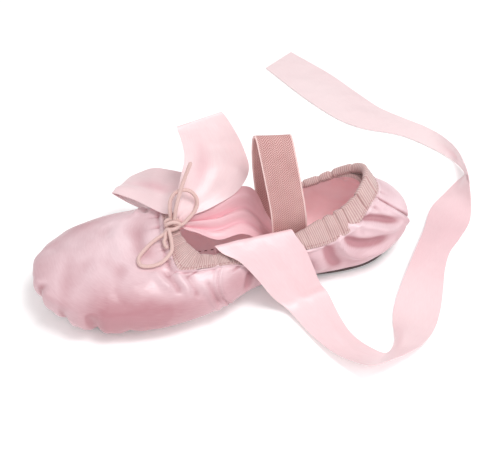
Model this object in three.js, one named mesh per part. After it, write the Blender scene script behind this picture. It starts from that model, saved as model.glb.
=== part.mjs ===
import * as THREE from "three";

// Soft ballet slipper with ribbon ties, an elastic strap and a drawstring.
// Millimetres. +X runs to the toe, +Y to the shoe's left side, +Z up. The sole rests on z = 0,
// and the origin is the middle of its heel seat.

// Driving dimensions
const SHOE_LENGTH = 200;
const BALL_WIDTH = 79.2;
const HEEL_HEIGHT = 48.5;
const HEEL_SEAT = 38;
const WALL = 1.4;
const GAP = 0.3;
const SOLE_THICKNESS = 1.8;
const INSOLE_THICKNESS = 1.2;
const SOLE_LAP = 4.5;
const HEEL_ROUNDING = 43.1;
const TOE_ROUNDING = 45.7;
const HEEL_POWER = 2.2;
const TOE_POWER = 2.3;
const TOP_POWER = 2.1;
const LOW_POWER = 3.0;
const COLLAR_BACK = 27.6;
const COLLAR_FRONT = 126.3;
const COLLAR_BACK_ROUND = 0.16;
const COLLAR_FRONT_ROUND = 0.14;
const BINDING_OUTSIDE = 12;
const BINDING_INSIDE = 6.5;
const BINDING_TAPE = 1.0;
const BINDING_HEEL_LIP = 2.5;
const SEAM_STATION = 0.56;
const SEAM_WIDTH = 4.6;
const SEAM_STEP = 0.5;
const STRAP_WIDTH = 18;
const STRAP_THICKNESS = 1.2;
const RIBBON_WIDTH = 25;
const RIBBON_THICKNESS = 0.6;
const CORD_DIAMETER = 2.0;
const REST_HEIGHT = SOLE_THICKNESS + GAP;

// Sections of the last. Station along the shoe; half width as a share of the ball width;
// top, bulge and bottom heights as shares of the heel height.
const SECTIONS = [
  { station: 0.00, halfWidth: 0.227, top: 0.935, bulge: 0.372, bottom: 0.020 },
  { station: 0.14, halfWidth: 0.289, top: 1.000, bulge: 0.401, bottom: 0.015 },
  { station: 0.28, halfWidth: 0.307, top: 0.907, bulge: 0.405, bottom: 0.046 },
  { station: 0.43, halfWidth: 0.325, top: 0.790, bulge: 0.378, bottom: 0.128 },
  { station: 0.58, halfWidth: 0.451, top: 0.770, bulge: 0.356, bottom: 0.073 },
  { station: 0.72, halfWidth: 0.500, top: 0.734, bulge: 0.330, bottom: 0.025 },
  { station: 0.86, halfWidth: 0.459, top: 0.697, bulge: 0.377, bottom: 0.029 },
  { station: 1.00, halfWidth: 0.411, top: 0.649, bulge: 0.478, bottom: 0.103 },
];

// Half width of the collar opening in plan, along it from its back to the throat.
const COLLAR = [
  { along: 0.00, halfWidth: 0.149 },
  { along: 0.25, halfWidth: 0.198 },
  { along: 0.50, halfWidth: 0.234 },
  { along: 0.75, halfWidth: 0.247 },
  { along: 1.00, halfWidth: 0.271 },
];

// Half width of the sole in plan, with its rounded ends.
const SOLE_BACK = 10;
const SOLE_FRONT = 190;
const SOLE = [
  { station: 0.00, halfWidth: 0.185 },
  { station: 0.20, halfWidth: 0.205 },
  { station: 0.40, halfWidth: 0.150 },
  { station: 0.55, halfWidth: 0.200 },
  { station: 0.72, halfWidth: 0.330 },
  { station: 0.86, halfWidth: 0.330 },
  { station: 1.00, halfWidth: 0.260 },
];
const SOLE_BACK_ROUND = 0.12;
const SOLE_FRONT_ROUND = 0.20;

// Mesh fineness
const COLUMNS = 56;
const MERIDIAN_ROWS = 19;
const FINE = 60;

// Elastic strap: the middle of each row as shares of the shoe's length, and its turn in plan in degrees.
const STRAP_ROWS = [
  { x: 0.35, y: 0.06, z: 0.095, turn: 4 },
  { x: 0.35, y: 0.062, z: 0.135, turn: 4 },
  { x: 0.351, y: 0.061, z: 0.18, turn: 7 },
  { x: 0.355, y: 0.056, z: 0.235, turn: 10 },
  { x: 0.363, y: 0.0465, z: 0.295, turn: 12 },
  { x: 0.371, y: 0.0335, z: 0.355, turn: 13 },
  { x: 0.376, y: 0.021, z: 0.395, turn: 13 },
  { x: 0.378, y: 0.008, z: 0.417, turn: 13 },
  { x: 0.378, y: -0.008, z: 0.421, turn: 13 },
  { x: 0.378, y: -0.023, z: 0.406, turn: 12 },
  { x: 0.376, y: -0.038, z: 0.3675, turn: 10 },
  { x: 0.371, y: -0.053, z: 0.31, turn: 7 },
  { x: 0.364, y: -0.0645, z: 0.25, turn: 3 },
  { x: 0.357, y: -0.0695, z: 0.19, turn: 0 },
  { x: 0.355, y: -0.0695, z: 0.14, turn: 0 },
  { x: 0.355, y: -0.068, z: 0.095, turn: 0 },
];

// Ribbons: both ends of each row across the ribbon, as shares of the shoe's length.
const RIBBON_NEAR_ROWS = [
  { lx: 0.55, ly: 0.078, lz: 0.1, rx: 0.38, ry: 0.073, rz: 0.095 },
  { lx: 0.5575, ly: 0.078, lz: 0.145, rx: 0.3675, ry: 0.073, rz: 0.15 },
  { lx: 0.56, ly: 0.0845, lz: 0.1825, rx: 0.36, ry: 0.0775, rz: 0.182 },
  { lx: 0.556, ly: 0.097, lz: 0.193, rx: 0.355, ry: 0.089, rz: 0.1935 },
  { lx: 0.5425, ly: 0.114, lz: 0.183, rx: 0.347, ry: 0.105, rz: 0.182 },
  { lx: 0.505, ly: 0.133, lz: 0.1625, rx: 0.33, ry: 0.123, rz: 0.155 },
  { lx: 0.465, ly: 0.15, lz: 0.11, rx: 0.3125, ry: 0.14, rz: 0.105 },
  { lx: 0.4225, ly: 0.1675, lz: 0.0425, rx: 0.295, ry: 0.1575, rz: 0.0525 },
  { lx: 0.3945, ly: 0.1803, lz: 0.011, rx: 0.2789, ry: 0.1421, rz: 0.015 },
  { lx: 0.3628, ly: 0.2849, lz: 0.015, rx: 0.2706, ry: 0.2432, rz: 0.0045 },
  { lx: 0.3341, ly: 0.3661, lz: 0.025, rx: 0.2607, ry: 0.3043, rz: 0.0045 },
  { lx: 0.3051, ly: 0.4242, lz: 0.045, rx: 0.2351, ry: 0.3561, rz: 0.0045 },
  { lx: 0.2738, ly: 0.4765, lz: 0.075, rx: 0.2027, ry: 0.3882, rz: 0.0045 },
  { lx: 0.2269, ly: 0.4674, lz: 0.07, rx: 0.1725, ry: 0.3656, rz: 0.0045 },
  { lx: 0.173, ly: 0.4454, lz: 0.055, rx: 0.1586, ry: 0.3341, rz: 0.0045 },
  { lx: 0.1176, ly: 0.4113, lz: 0.035, rx: 0.1466, ry: 0.2941, rz: 0.0045 },
  { lx: 0.0632, ly: 0.358, lz: 0.015, rx: 0.1281, ry: 0.2513, rz: 0.0045 },
  { lx: 0.0184, ly: 0.295, lz: 0.005, rx: 0.1043, ry: 0.2147, rz: 0.01 },
  { lx: -0.0215, ly: 0.2229, lz: 0.005, rx: 0.0745, ry: 0.1744, rz: 0.015 },
  { lx: -0.059, ly: 0.1505, lz: 0.005, rx: 0.0345, ry: 0.1238, rz: 0.02 },
  { lx: -0.0992, ly: 0.0923, lz: 0.005, rx: -0.0093, ry: 0.0666, rz: 0.02 },
  { lx: -0.1488, ly: 0.0474, lz: 0.005, rx: -0.0633, ry: -0.0046, rz: 0.015 },
  { lx: -0.207, ly: -0.0144, lz: 0.005, rx: -0.1217, ry: -0.0903, rz: 0.0075 },
  { lx: -0.2283, ly: -0.0603, lz: 0.025, rx: -0.1885, ry: -0.1441, rz: 0.0045 },
  { lx: -0.2397, ly: -0.0992, lz: 0.05, rx: -0.2443, ry: -0.185, rz: 0.0045 },
  { lx: -0.246, ly: -0.1326, lz: 0.07, rx: -0.2789, ry: -0.209, rz: 0.0045 },
  { lx: -0.266, ly: -0.2077, lz: 0.06, rx: -0.2808, ry: -0.238, rz: 0.0045 },
  { lx: -0.2826, ly: -0.2952, lz: 0.04, rx: -0.272, ry: -0.2756, rz: 0.0045 },
  { lx: -0.2765, ly: -0.3801, lz: 0.025, rx: -0.2535, ry: -0.3216, rz: 0.0045 },
  { lx: -0.2516, ly: -0.4496, lz: 0.015, rx: -0.2154, ry: -0.3845, rz: 0.0045 },
  { lx: -0.2156, ly: -0.5055, lz: 0.01, rx: -0.1697, ry: -0.4401, rz: 0.0045 },
  { lx: -0.163, ly: -0.5903, lz: 0.0045, rx: -0.0711, ry: -0.5063, rz: 0.0045 },
  { lx: -0.1278, ly: -0.6752, lz: 0.0045, rx: -0.0203, ry: -0.5647, rz: 0.0045 },
  { lx: -0.0771, ly: -0.8092, lz: 0.0045, rx: 0.0392, ry: -0.689, rz: 0.0045 },
  { lx: 0.0056, ly: -0.9776, lz: 0.0045, rx: 0.1147, ry: -0.908, rz: 0.0045 },
];
const RIBBON_FAR_ROWS = [
  { lx: 0.34, ly: -0.045, lz: 0.07, rx: 0.37, ry: 0.04, rz: 0.06 },
  { lx: 0.38, ly: -0.0475, lz: 0.135, rx: 0.41, ry: 0.045, rz: 0.12 },
  { lx: 0.43, ly: -0.0725, lz: 0.21, rx: 0.47, ry: 0.0475, rz: 0.1725 },
  { lx: 0.51, ly: -0.05, lz: 0.2075, rx: 0.54, ry: 0.065, rz: 0.185 },
  { lx: 0.57, ly: -0.025, lz: 0.205, rx: 0.585, ry: 0.035, rz: 0.193 },
  { lx: 0.6175, ly: -0.02, lz: 0.206, rx: 0.6175, ry: 0.01, rz: 0.2 },
  { lx: 0.63, ly: -0.0225, lz: 0.2175, rx: 0.605, ry: 0, rz: 0.215 },
  { lx: 0.62, ly: -0.04, lz: 0.25, rx: 0.54, ry: -0.01, rz: 0.2275 },
  { lx: 0.6, ly: -0.065, lz: 0.3, rx: 0.455, ry: -0.0475, rz: 0.2375 },
  { lx: 0.5825, ly: -0.09, lz: 0.335, rx: 0.4175, ry: -0.08, rz: 0.27 },
  { lx: 0.585, ly: -0.1075, lz: 0.38, rx: 0.425, ry: -0.1, rz: 0.325 },
  { lx: 0.5915, ly: -0.1175, lz: 0.4075, rx: 0.455, ry: -0.115, rz: 0.4 },
  { lx: 0.5901, ly: -0.125, lz: 0.4103, rx: 0.4735, ry: -0.1275, rz: 0.4303 },
  { lx: 0.5858, ly: -0.135, lz: 0.3926, rx: 0.4677, ry: -0.14, rz: 0.4084 },
  { lx: 0.5704, ly: -0.145, lz: 0.3226, rx: 0.4539, ry: -0.165, rz: 0.3254 },
  { lx: 0.5591, ly: -0.135, lz: 0.2663, rx: 0.4494, ry: -0.185, rz: 0.2381 },
  { lx: 0.5831, ly: -0.085, lz: 0.2379, rx: 0.5008, ry: -0.19, rz: 0.202 },
  { lx: 0.6239, ly: -0.04, lz: 0.2139, rx: 0.5597, ry: -0.17, rz: 0.2234 },
  { lx: 0.6461, ly: -0.06, lz: 0.1929, rx: 0.6005, ry: -0.19, rz: 0.2273 },
  { lx: 0.6765, ly: -0.1, lz: 0.1894, rx: 0.6335, ry: -0.225, rz: 0.2148 },
  { lx: 0.7112, ly: -0.1475, lz: 0.1863, rx: 0.6656, ry: -0.26, rz: 0.1819 },
  { lx: 0.7589, ly: -0.185, lz: 0.1895, rx: 0.702, ry: -0.28, rz: 0.1472 },
  { lx: 0.7675, ly: -0.1975, lz: 0.1664, rx: 0.7096, ry: -0.295, rz: 0.1128 },
  { lx: 0.7554, ly: -0.2125, lz: 0.1292, rx: 0.6986, ry: -0.305, rz: 0.0812 },
  { lx: 0.7254, ly: -0.23, lz: 0.0799, rx: 0.6746, ry: -0.31, rz: 0.0429 },
  { lx: 0.7058, ly: -0.24, lz: 0.0527, rx: 0.6549, ry: -0.315, rz: 0.0197 },
];

// Drawstring runs: points of each centre line as shares of the shoe's length.
const CORD_RUNS = {
  drawstring_knot: [
    [0.655, -0.0058, 0.2155], [0.6463, -0.0044, 0.2199], [0.6354, -0.0031, 0.2199],
    [0.6268, -0.0017, 0.2153], [0.624, -0.0004, 0.2082], [0.6282, 0.001, 0.2014],
    [0.6377, 0.0023, 0.1977], [0.6485, 0.0037, 0.1987], [0.6562, 0.005, 0.2039],
    [0.6577, 0.0064, 0.2112], [0.6523, 0.0077, 0.2176], [0.6423, 0.0091, 0.2205],
    [0.6317, 0.0104, 0.2186], [0.625, 0.0118, 0.2129],
  ],
  drawstring_loop_near: [
    [0.6569, 0.0215, 0.2078], [0.6707, 0.0241, 0.1988], [0.69, 0.0289, 0.1927],
    [0.7165, 0.0431, 0.1849], [0.7446, 0.0719, 0.1788], [0.743, 0.0922, 0.1748],
    [0.7174, 0.1008, 0.1741], [0.689, 0.0981, 0.1793], [0.6625, 0.0791, 0.1908],
    [0.6562, 0.0541, 0.1975], [0.6551, 0.0329, 0.2057],
  ],
  drawstring_loop_far: [
    [0.643, -0.007, 0.2305], [0.6428, -0.012, 0.2477], [0.6374, -0.0225, 0.2672],
    [0.6235, -0.03, 0.2806], [0.6001, -0.031, 0.2841], [0.5811, -0.026, 0.2756],
    [0.5711, -0.0175, 0.2525], [0.5795, -0.007, 0.2335], [0.6015, 0.007, 0.2206],
    [0.6166, 0.0145, 0.2123],
  ],
  drawstring_end_long: [
    [0.6339, 0.0045, 0.2312], [0.63, 0, 0.2511], [0.6176, -0.012, 0.2838],
    [0.6003, -0.025, 0.3206], [0.5791, -0.0325, 0.3666],
  ],
  drawstring_end_short: [
    [0.6676, 0.0353, 0.1962], [0.6724, 0.0436, 0.1942], [0.673, 0.0564, 0.1921],
    [0.6687, 0.0679, 0.1906],
  ],
};

// A smooth curve through a table's column that never overshoots its rows.
function column(table, key, value, at) {
  const xs = table.map((row) => row[key]);
  const ys = table.map((row) => row[value]);
  const last = xs.length - 1;
  const slope = xs.slice(1).map((x, i) => (ys[i + 1] - ys[i]) / (x - xs[i]));
  const tangent = xs.map((x, i) => {
    if (i === 0) return slope[0];
    if (i === last) return slope[last - 1];
    if (slope[i - 1] * slope[i] <= 0) return 0;
    const before = xs[i] - xs[i - 1];
    const after = xs[i + 1] - xs[i];
    const wide = 2 * after + before;
    const narrow = after + 2 * before;
    return (wide + narrow) / (wide / slope[i - 1] + narrow / slope[i]);
  });
  let i = 0;
  while (i < last - 1 && at > xs[i + 1]) i += 1;
  const h = xs[i + 1] - xs[i];
  const t = Math.min(1, Math.max(0, (at - xs[i]) / h));
  const u = 1 - t;
  return (1 + 2 * t) * u * u * ys[i] + t * u * u * h * tangent[i]
    + t * t * (3 - 2 * t) * ys[i + 1] - t * t * u * h * tangent[i + 1];
}

// How much of its full width a form has near a rounded end.
function rounding(share, power) {
  const a = Math.min(1, Math.max(0, 1 - share));
  return (1 - a ** power) ** (1 / power);
}

function section(x) {
  const s = x / SHOE_LENGTH;
  const k = rounding(x / HEEL_ROUNDING, HEEL_POWER) * rounding((SHOE_LENGTH - x) / TOE_ROUNDING, TOE_POWER);
  const bulge = column(SECTIONS, "station", "bulge", s) * HEEL_HEIGHT;
  const top = column(SECTIONS, "station", "top", s) * HEEL_HEIGHT;
  const bottom = column(SECTIONS, "station", "bottom", s) * HEEL_HEIGHT;
  return {
    half: column(SECTIONS, "station", "halfWidth", s) * BALL_WIDTH * k,
    bulge,
    rise: (top - bulge) * k,
    drop: (bulge - bottom) * k,
  };
}

function topHeight(x, y) {
  const form = section(x);
  const r = Math.min(1, Math.abs(y) / Math.max(form.half, 1e-6));
  return form.bulge + form.rise * (1 - r ** TOP_POWER) ** (1 / TOP_POWER);
}

function lowHeight(x, y) {
  const form = section(x);
  const r = Math.min(1, Math.abs(y) / Math.max(form.half, 1e-6));
  return Math.max(REST_HEIGHT, form.bulge - form.drop * (1 - r ** LOW_POWER) ** (1 / LOW_POWER));
}

// Plan curves around the shoe. The angle is 0 at the heel and half a turn at the toe.
function station(angle, from, to) {
  return from + (to - from) * (1 - Math.cos(angle)) / 2;
}

function side(angle) {
  return Math.sin(angle) < 0 ? -1 : 1;
}

function outlineAt(angle) {
  const x = station(angle, 0, SHOE_LENGTH);
  return [x, side(angle) * section(x).half];
}

function collarHalf(x) {
  const s = (x - COLLAR_BACK) / (COLLAR_FRONT - COLLAR_BACK);
  return column(COLLAR, "along", "halfWidth", s) * BALL_WIDTH
    * rounding(s / COLLAR_BACK_ROUND, 2) * rounding((1 - s) / COLLAR_FRONT_ROUND, 2);
}

function collarAt(angle) {
  const x = station(angle, COLLAR_BACK, COLLAR_FRONT);
  return [x, side(angle) * collarHalf(x)];
}

function soleAt(angle, inset) {
  const x = station(angle, SOLE_BACK, SOLE_FRONT);
  const s = (x - SOLE_BACK) / (SOLE_FRONT - SOLE_BACK);
  const half = column(SOLE, "station", "halfWidth", s) * BALL_WIDTH
    * rounding(s / SOLE_BACK_ROUND, 2) * rounding((1 - s) / SOLE_FRONT_ROUND, 2);
  const length = SOLE_FRONT - SOLE_BACK;
  const middle = (SOLE_FRONT + SOLE_BACK) / 2;
  const shrink = (length - 2 * inset) / length;
  return [middle + (x - middle) * shrink, side(angle) * half * (1 - inset / (0.5 * BALL_WIDTH * 0.45))];
}

// One meridian of the upper's outer surface, from the collar round to the opening underneath.
function meridian(angle) {
  const rim = collarAt(angle);
  const edge = outlineAt(angle);
  const hole = soleAt(angle, SOLE_LAP);
  const points = [];
  for (let i = 0; i <= FINE; i += 1) {
    const f = Math.sin((i / FINE) * Math.PI / 2);
    const x = rim[0] + (edge[0] - rim[0]) * f;
    const y = rim[1] + (edge[1] - rim[1]) * f;
    points.push(new THREE.Vector3(x, y, i === FINE ? section(x).bulge : topHeight(x, y)));
  }
  for (let i = 1; i <= FINE; i += 1) {
    const f = 1 - Math.cos((1 - i / FINE) * Math.PI / 2);
    const g = 1 - (1 - f) ** 1.6;
    const x = hole[0] + (edge[0] - hole[0]) * g;
    const y = hole[1] + (edge[1] - hole[1]) * g;
    points.push(new THREE.Vector3(x, y, lowHeight(x, y)));
  }
  const lengths = [0];
  for (let i = 1; i < points.length; i += 1) lengths.push(lengths[i - 1] + points[i].distanceTo(points[i - 1]));
  return { points, lengths, total: lengths[lengths.length - 1] };
}

function along(line, distance) {
  const { points, lengths } = line;
  let i = 0;
  while (i < points.length - 2 && distance > lengths[i + 1]) i += 1;
  const f = (distance - lengths[i]) / (lengths[i + 1] - lengths[i]);
  return points[i].clone().lerp(points[i + 1], f);
}

// The skin of the last: a point at a distance below the collar, set off from the surface.
function skin(angle) {
  const nudge = 0.004;
  const here = meridian(angle);
  const before = meridian(angle - nudge);
  const after = meridian(angle + nudge);
  const at = (distance, offset) => {
    const share = distance / here.total;
    const across = along(after, share * after.total).sub(along(before, share * before.total));
    const down = along(here, distance + 0.4).sub(along(here, distance - 0.4));
    const normal = across.cross(down).normalize();
    return along(here, distance).addScaledVector(normal, offset);
  };
  return { at, total: here.total };
}

// Solids
function merged(faces) {
  const index = new Map();
  const positions = [];
  const triangles = [];
  const id = (p) => {
    const key = `${p.x.toFixed(3)},${p.y.toFixed(3)},${p.z.toFixed(3)}`;
    if (!index.has(key)) {
      index.set(key, positions.length / 3);
      positions.push(p.x, p.y, p.z);
    }
    return index.get(key);
  };
  for (const face of faces) {
    const [a, b, c] = face.map(id);
    if (a !== b && b !== c && a !== c) triangles.push(a, b, c);
  }
  const geometry = new THREE.BufferGeometry();
  geometry.setAttribute("position", new THREE.Float32BufferAttribute(positions, 3));
  geometry.setIndex(triangles);
  return outward(geometry);
}

function outward(geometry) {
  const p = geometry.getAttribute("position");
  const index = geometry.getIndex();
  const a = new THREE.Vector3();
  const b = new THREE.Vector3();
  const c = new THREE.Vector3();
  let volume = 0;
  for (let i = 0; i < index.count; i += 3) {
    a.fromBufferAttribute(p, index.getX(i));
    b.fromBufferAttribute(p, index.getX(i + 1));
    c.fromBufferAttribute(p, index.getX(i + 2));
    volume += a.dot(b.cross(c));
  }
  if (volume < 0) {
    const order = Array.from(index.array);
    for (let i = 0; i < order.length; i += 3) [order[i + 1], order[i + 2]] = [order[i + 2], order[i + 1]];
    geometry.setIndex(order);
  }
  geometry.computeVertexNormals();
  return geometry;
}

function quad(faces, a, b, c, d) {
  faces.push([a, b, c], [a, c, d]);
}

// A solid whose closed profile is carried all the way round a ring.
function ringSolid(profiles) {
  const faces = [];
  const count = profiles.length;
  const size = profiles[0].length;
  for (let i = 0; i < count; i += 1) {
    const here = profiles[i];
    const next = profiles[(i + 1) % count];
    for (let j = 0; j < size; j += 1) {
      const k = (j + 1) % size;
      quad(faces, here[j], next[j], next[k], here[k]);
    }
  }
  return merged(faces);
}

// A solid whose closed profile is carried along an open run and capped at both ends.
function runSolid(profiles) {
  const faces = [];
  const size = profiles[0].length;
  for (let i = 0; i < profiles.length - 1; i += 1) {
    for (let j = 0; j < size; j += 1) {
      const k = (j + 1) % size;
      quad(faces, profiles[i][j], profiles[i + 1][j], profiles[i + 1][k], profiles[i][k]);
    }
  }
  const first = profiles[0];
  const last = profiles[profiles.length - 1];
  for (let j = 1; j < size - 1; j += 1) {
    faces.push([first[0], first[j], first[j + 1]]);
    faces.push([last[0], last[j + 1], last[j]]);
  }
  return merged(faces);
}

function angles(extra) {
  const list = [];
  for (let i = 0; i < COLUMNS; i += 1) list.push((i / COLUMNS) * 2 * Math.PI);
  for (const angle of extra) {
    for (let i = list.length - 1; i >= 0; i -= 1) if (Math.abs(list[i] - angle) < 0.03) list.splice(i, 1);
    list.push(angle);
  }
  return list.sort((a, b) => a - b);
}

// The side seams: a low step in the wall, raised between two meridians on each side.
function seamAngles() {
  const middle = Math.acos(1 - 2 * SEAM_STATION);
  const reach = SEAM_WIDTH / SHOE_LENGTH;
  const edges = [middle - reach - 0.02, middle - reach, middle + reach, middle + reach + 0.02];
  return edges.concat(edges.map((a) => 2 * Math.PI - a));
}

function seamStep(angle, list) {
  const near = Math.min(angle, 2 * Math.PI - angle);
  return near > list[0] + 0.01 && near < list[3] - 0.01 ? SEAM_STEP : 0;
}

function upper() {
  const seams = seamAngles();
  const profiles = angles(seams).map((angle) => {
    const line = skin(angle);
    const step = seamStep(angle, seams);
    const outside = [];
    const inside = [];
    for (let j = 0; j <= MERIDIAN_ROWS; j += 1) {
      const distance = (j / MERIDIAN_ROWS) * line.total;
      const raised = distance > BINDING_OUTSIDE + 2 && j < MERIDIAN_ROWS - 3 ? step : 0;
      outside.push(line.at(distance, raised));
      inside.unshift(line.at(distance, -WALL));
    }
    return outside.concat(inside);
  });
  return ringSolid(profiles);
}

function collarBinding() {
  const out = GAP + BINDING_TAPE;
  const inn = -(WALL + GAP + BINDING_TAPE);
  const profile = (lip) => [
    [BINDING_OUTSIDE, out], [BINDING_OUTSIDE / 2, out], [-GAP - lip, out], [-GAP - lip - BINDING_TAPE, out - 0.7],
    [-GAP - lip - BINDING_TAPE, inn + 0.7], [-GAP - lip, inn], [BINDING_INSIDE / 2, inn], [BINDING_INSIDE, inn],
    [BINDING_INSIDE, inn + BINDING_TAPE], [BINDING_INSIDE / 2, inn + BINDING_TAPE], [-GAP, inn + BINDING_TAPE],
    [-GAP, GAP], [BINDING_OUTSIDE / 2, GAP], [BINDING_OUTSIDE, GAP],
  ];
  return ringSolid(angles([]).map((angle) => {
    const line = skin(angle);
    const lip = BINDING_HEEL_LIP * Math.max(0, Math.cos(angle)) ** 4;
    return profile(lip).map(([distance, offset]) => line.at(distance, offset));
  }));
}

// A point set off from the underside of the last, outward where the offset is positive.
function underside(x, y, offset) {
  const h = 0.05;
  const slopeX = (lowHeight(x + h, y) - lowHeight(x - h, y)) / (2 * h);
  const slopeY = (lowHeight(x, y + h) - lowHeight(x, y - h)) / (2 * h);
  const normal = new THREE.Vector3(slopeX, slopeY, -1).normalize();
  const point = new THREE.Vector3(x, y, lowHeight(x, y)).addScaledVector(normal, offset);
  return point;
}

// A plate that follows the underside, from its middle line out to its edge.
function plate(inset, layers) {
  const profiles = angles([]).map((angle) => {
    const edge = soleAt(angle, inset);
    const middle = Math.min(SOLE_FRONT - 30, Math.max(SOLE_BACK + 14, edge[0]));
    return layers.map(({ share, offset, floor }) => {
      const x = middle + (edge[0] - middle) * share;
      const point = underside(x, edge[1] * share, offset);
      if (floor) point.z = Math.max(0, point.z);
      return point;
    });
  });
  const faces = [];
  const count = profiles.length;
  for (let i = 0; i < count; i += 1) {
    const here = profiles[i];
    const next = profiles[(i + 1) % count];
    for (let j = 0; j < here.length - 1; j += 1) quad(faces, here[j], next[j], next[j + 1], here[j + 1]);
  }
  return merged(faces);
}

function outsole() {
  const under = GAP + SOLE_THICKNESS;
  return plate(0, [
    { share: 0, offset: under, floor: true }, { share: 0.4, offset: under, floor: true },
    { share: 0.75, offset: under, floor: true }, { share: 1, offset: under, floor: true },
    { share: 1, offset: GAP }, { share: 0.75, offset: GAP }, { share: 0.4, offset: GAP }, { share: 0, offset: GAP },
  ]);
}

function insole() {
  const low = -(WALL + GAP);
  const high = low - INSOLE_THICKNESS;
  return plate(1.0, [
    { share: 0, offset: -GAP }, { share: 0.4, offset: -GAP }, { share: 0.66, offset: -GAP },
    { share: 0.68, offset: low }, { share: 1, offset: low },
    { share: 1, offset: high }, { share: 0.66, offset: high }, { share: 0.4, offset: high }, { share: 0, offset: high },
  ]);
}

// A strip of cloth through rows across it, smoothed between the rows.
function strip(rows, thickness, between) {
  const left = new THREE.CatmullRomCurve3(rows.map((row) => row[0]), false, "centripetal");
  const right = new THREE.CatmullRomCurve3(rows.map((row) => row[1]), false, "centripetal");
  const steps = (rows.length - 1) * between;
  const ends = [];
  for (let i = 0; i <= steps; i += 1) ends.push([left.getPoint(i / steps), right.getPoint(i / steps)]);
  const profiles = ends.map(([l, r], i) => {
    const a = ends[Math.max(0, i - 1)];
    const b = ends[Math.min(steps, i + 1)];
    const offset = (near, p) => {
      const travel = b[near].clone().sub(a[near]);
      const normal = travel.cross(l.clone().sub(r)).normalize().multiplyScalar(thickness / 2);
      return [p.clone().add(normal), p.clone().sub(normal)];
    };
    const [leftUp, leftDown] = offset(0, l);
    const [rightUp, rightDown] = offset(1, r);
    return [leftUp, rightUp, rightDown, leftDown];
  });
  return runSolid(profiles);
}

function vector(x, y, z) {
  return new THREE.Vector3(x, y, z).multiplyScalar(SHOE_LENGTH);
}

function strap() {
  const rows = STRAP_ROWS.map(({ x, y, z, turn }) => {
    const angle = (turn * Math.PI) / 180;
    const half = new THREE.Vector3(Math.cos(angle), -Math.sin(angle), 0).multiplyScalar(STRAP_WIDTH / 2);
    return [vector(x, y, z).add(half), vector(x, y, z).sub(half)];
  });
  return strip(rows, STRAP_THICKNESS, 2);
}

// The rows are given for a ribbon 25 wide, and open or close about their middles with its real width.
function ribbon(table) {
  const rows = table.map(({ lx, ly, lz, rx, ry, rz }) => {
    const left = vector(lx, ly, lz);
    const right = vector(rx, ry, rz);
    const share = (1 - RIBBON_WIDTH / 25) / 2;
    return [left.clone().lerp(right, share), right.clone().lerp(left, share)];
  });
  return strip(rows, RIBBON_THICKNESS, 3);
}

function cord(points) {
  const path = new THREE.CatmullRomCurve3(points.map((p) => vector(...p)), false, "centripetal");
  const round = new THREE.Shape();
  const facets = 8;
  for (let i = 0; i <= facets; i += 1) {
    const a = (i / facets) * 2 * Math.PI;
    const x = Math.cos(a) * CORD_DIAMETER / 2;
    const y = Math.sin(a) * CORD_DIAMETER / 2;
    if (i === 0) round.moveTo(x, y);
    else round.lineTo(x, y);
  }
  const steps = points.length * 3;
  const tube = new THREE.ExtrudeGeometry(round, { steps, bevelEnabled: false, extrudePath: path });
  const p = tube.getAttribute("position");
  const faces = [];
  for (let i = 0; i < p.count; i += 3) {
    faces.push([0, 1, 2].map((k) => new THREE.Vector3().fromBufferAttribute(p, i + k)));
  }
  return merged(faces);
}

function part(name, geometry, color, roughness) {
  geometry.translate(-HEEL_SEAT, 0, 0);
  const material = new THREE.MeshStandardMaterial({ color, roughness, metalness: 0 });
  const mesh = new THREE.Mesh(geometry, material);
  mesh.name = name;
  return mesh;
}

const slipper = new THREE.Group();
slipper.name = "ballet_slipper";
slipper.add(part("upper", upper(), 0xe9c3cb, 0.45));
slipper.add(part("collar_binding", collarBinding(), 0xe6c9c6, 0.8));
slipper.add(part("outsole", outsole(), 0x6b5a58, 0.95));
slipper.add(part("insole", insole(), 0xd9aeb2, 0.85));
slipper.add(part("elastic_strap", strap(), 0xc99a98, 0.85));
slipper.add(part("ribbon_near", ribbon(RIBBON_NEAR_ROWS), 0xf0ccd2, 0.4));
slipper.add(part("ribbon_far", ribbon(RIBBON_FAR_ROWS), 0xf0ccd2, 0.4));
for (const [name, points] of Object.entries(CORD_RUNS)) {
  slipper.add(part(name, cord(points), 0xe3bfbf, 0.7));
}

export default slipper;
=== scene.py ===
"""Soft satin ballet slipper with ribbon ties, an elastic strap and a drawstring bow."""

import math
from functools import partial

import bmesh
import bpy
import numpy as np
from bpy.props import FloatProperty, FloatVectorProperty, PointerProperty
from mathutils import Matrix, Vector


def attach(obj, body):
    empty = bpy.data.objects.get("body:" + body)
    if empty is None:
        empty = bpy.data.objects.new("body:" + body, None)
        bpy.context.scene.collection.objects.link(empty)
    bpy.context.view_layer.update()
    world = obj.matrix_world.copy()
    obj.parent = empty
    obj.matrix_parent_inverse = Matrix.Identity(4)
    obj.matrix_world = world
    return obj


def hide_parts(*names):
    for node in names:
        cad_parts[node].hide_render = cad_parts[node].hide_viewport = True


bl_info = {
    "name": "Satin Ballet Slipper",
    "version": (1, 0, 0),
    "blender": (4, 5, 0),
    "location": "3D Viewport > Sidebar > Slipper",
    "description": "Builds a soft satin ballet slipper with ribbon ties over its packed frame",
    "category": "Add Mesh",
}

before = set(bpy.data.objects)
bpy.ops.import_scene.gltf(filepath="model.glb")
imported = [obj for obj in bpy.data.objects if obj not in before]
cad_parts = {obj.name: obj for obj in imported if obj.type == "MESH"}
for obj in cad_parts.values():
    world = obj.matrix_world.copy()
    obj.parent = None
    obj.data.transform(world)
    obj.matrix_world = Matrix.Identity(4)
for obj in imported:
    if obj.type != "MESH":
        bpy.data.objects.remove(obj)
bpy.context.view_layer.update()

# Lengths inside the shape functions are millimetres from the back of the heel. HEEL_SEAT brings
# them to the frame's place, and GAP is the room between two pieces.
MM = 0.001
HEEL_SEAT = 38.0
GAP = 0.3

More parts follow.
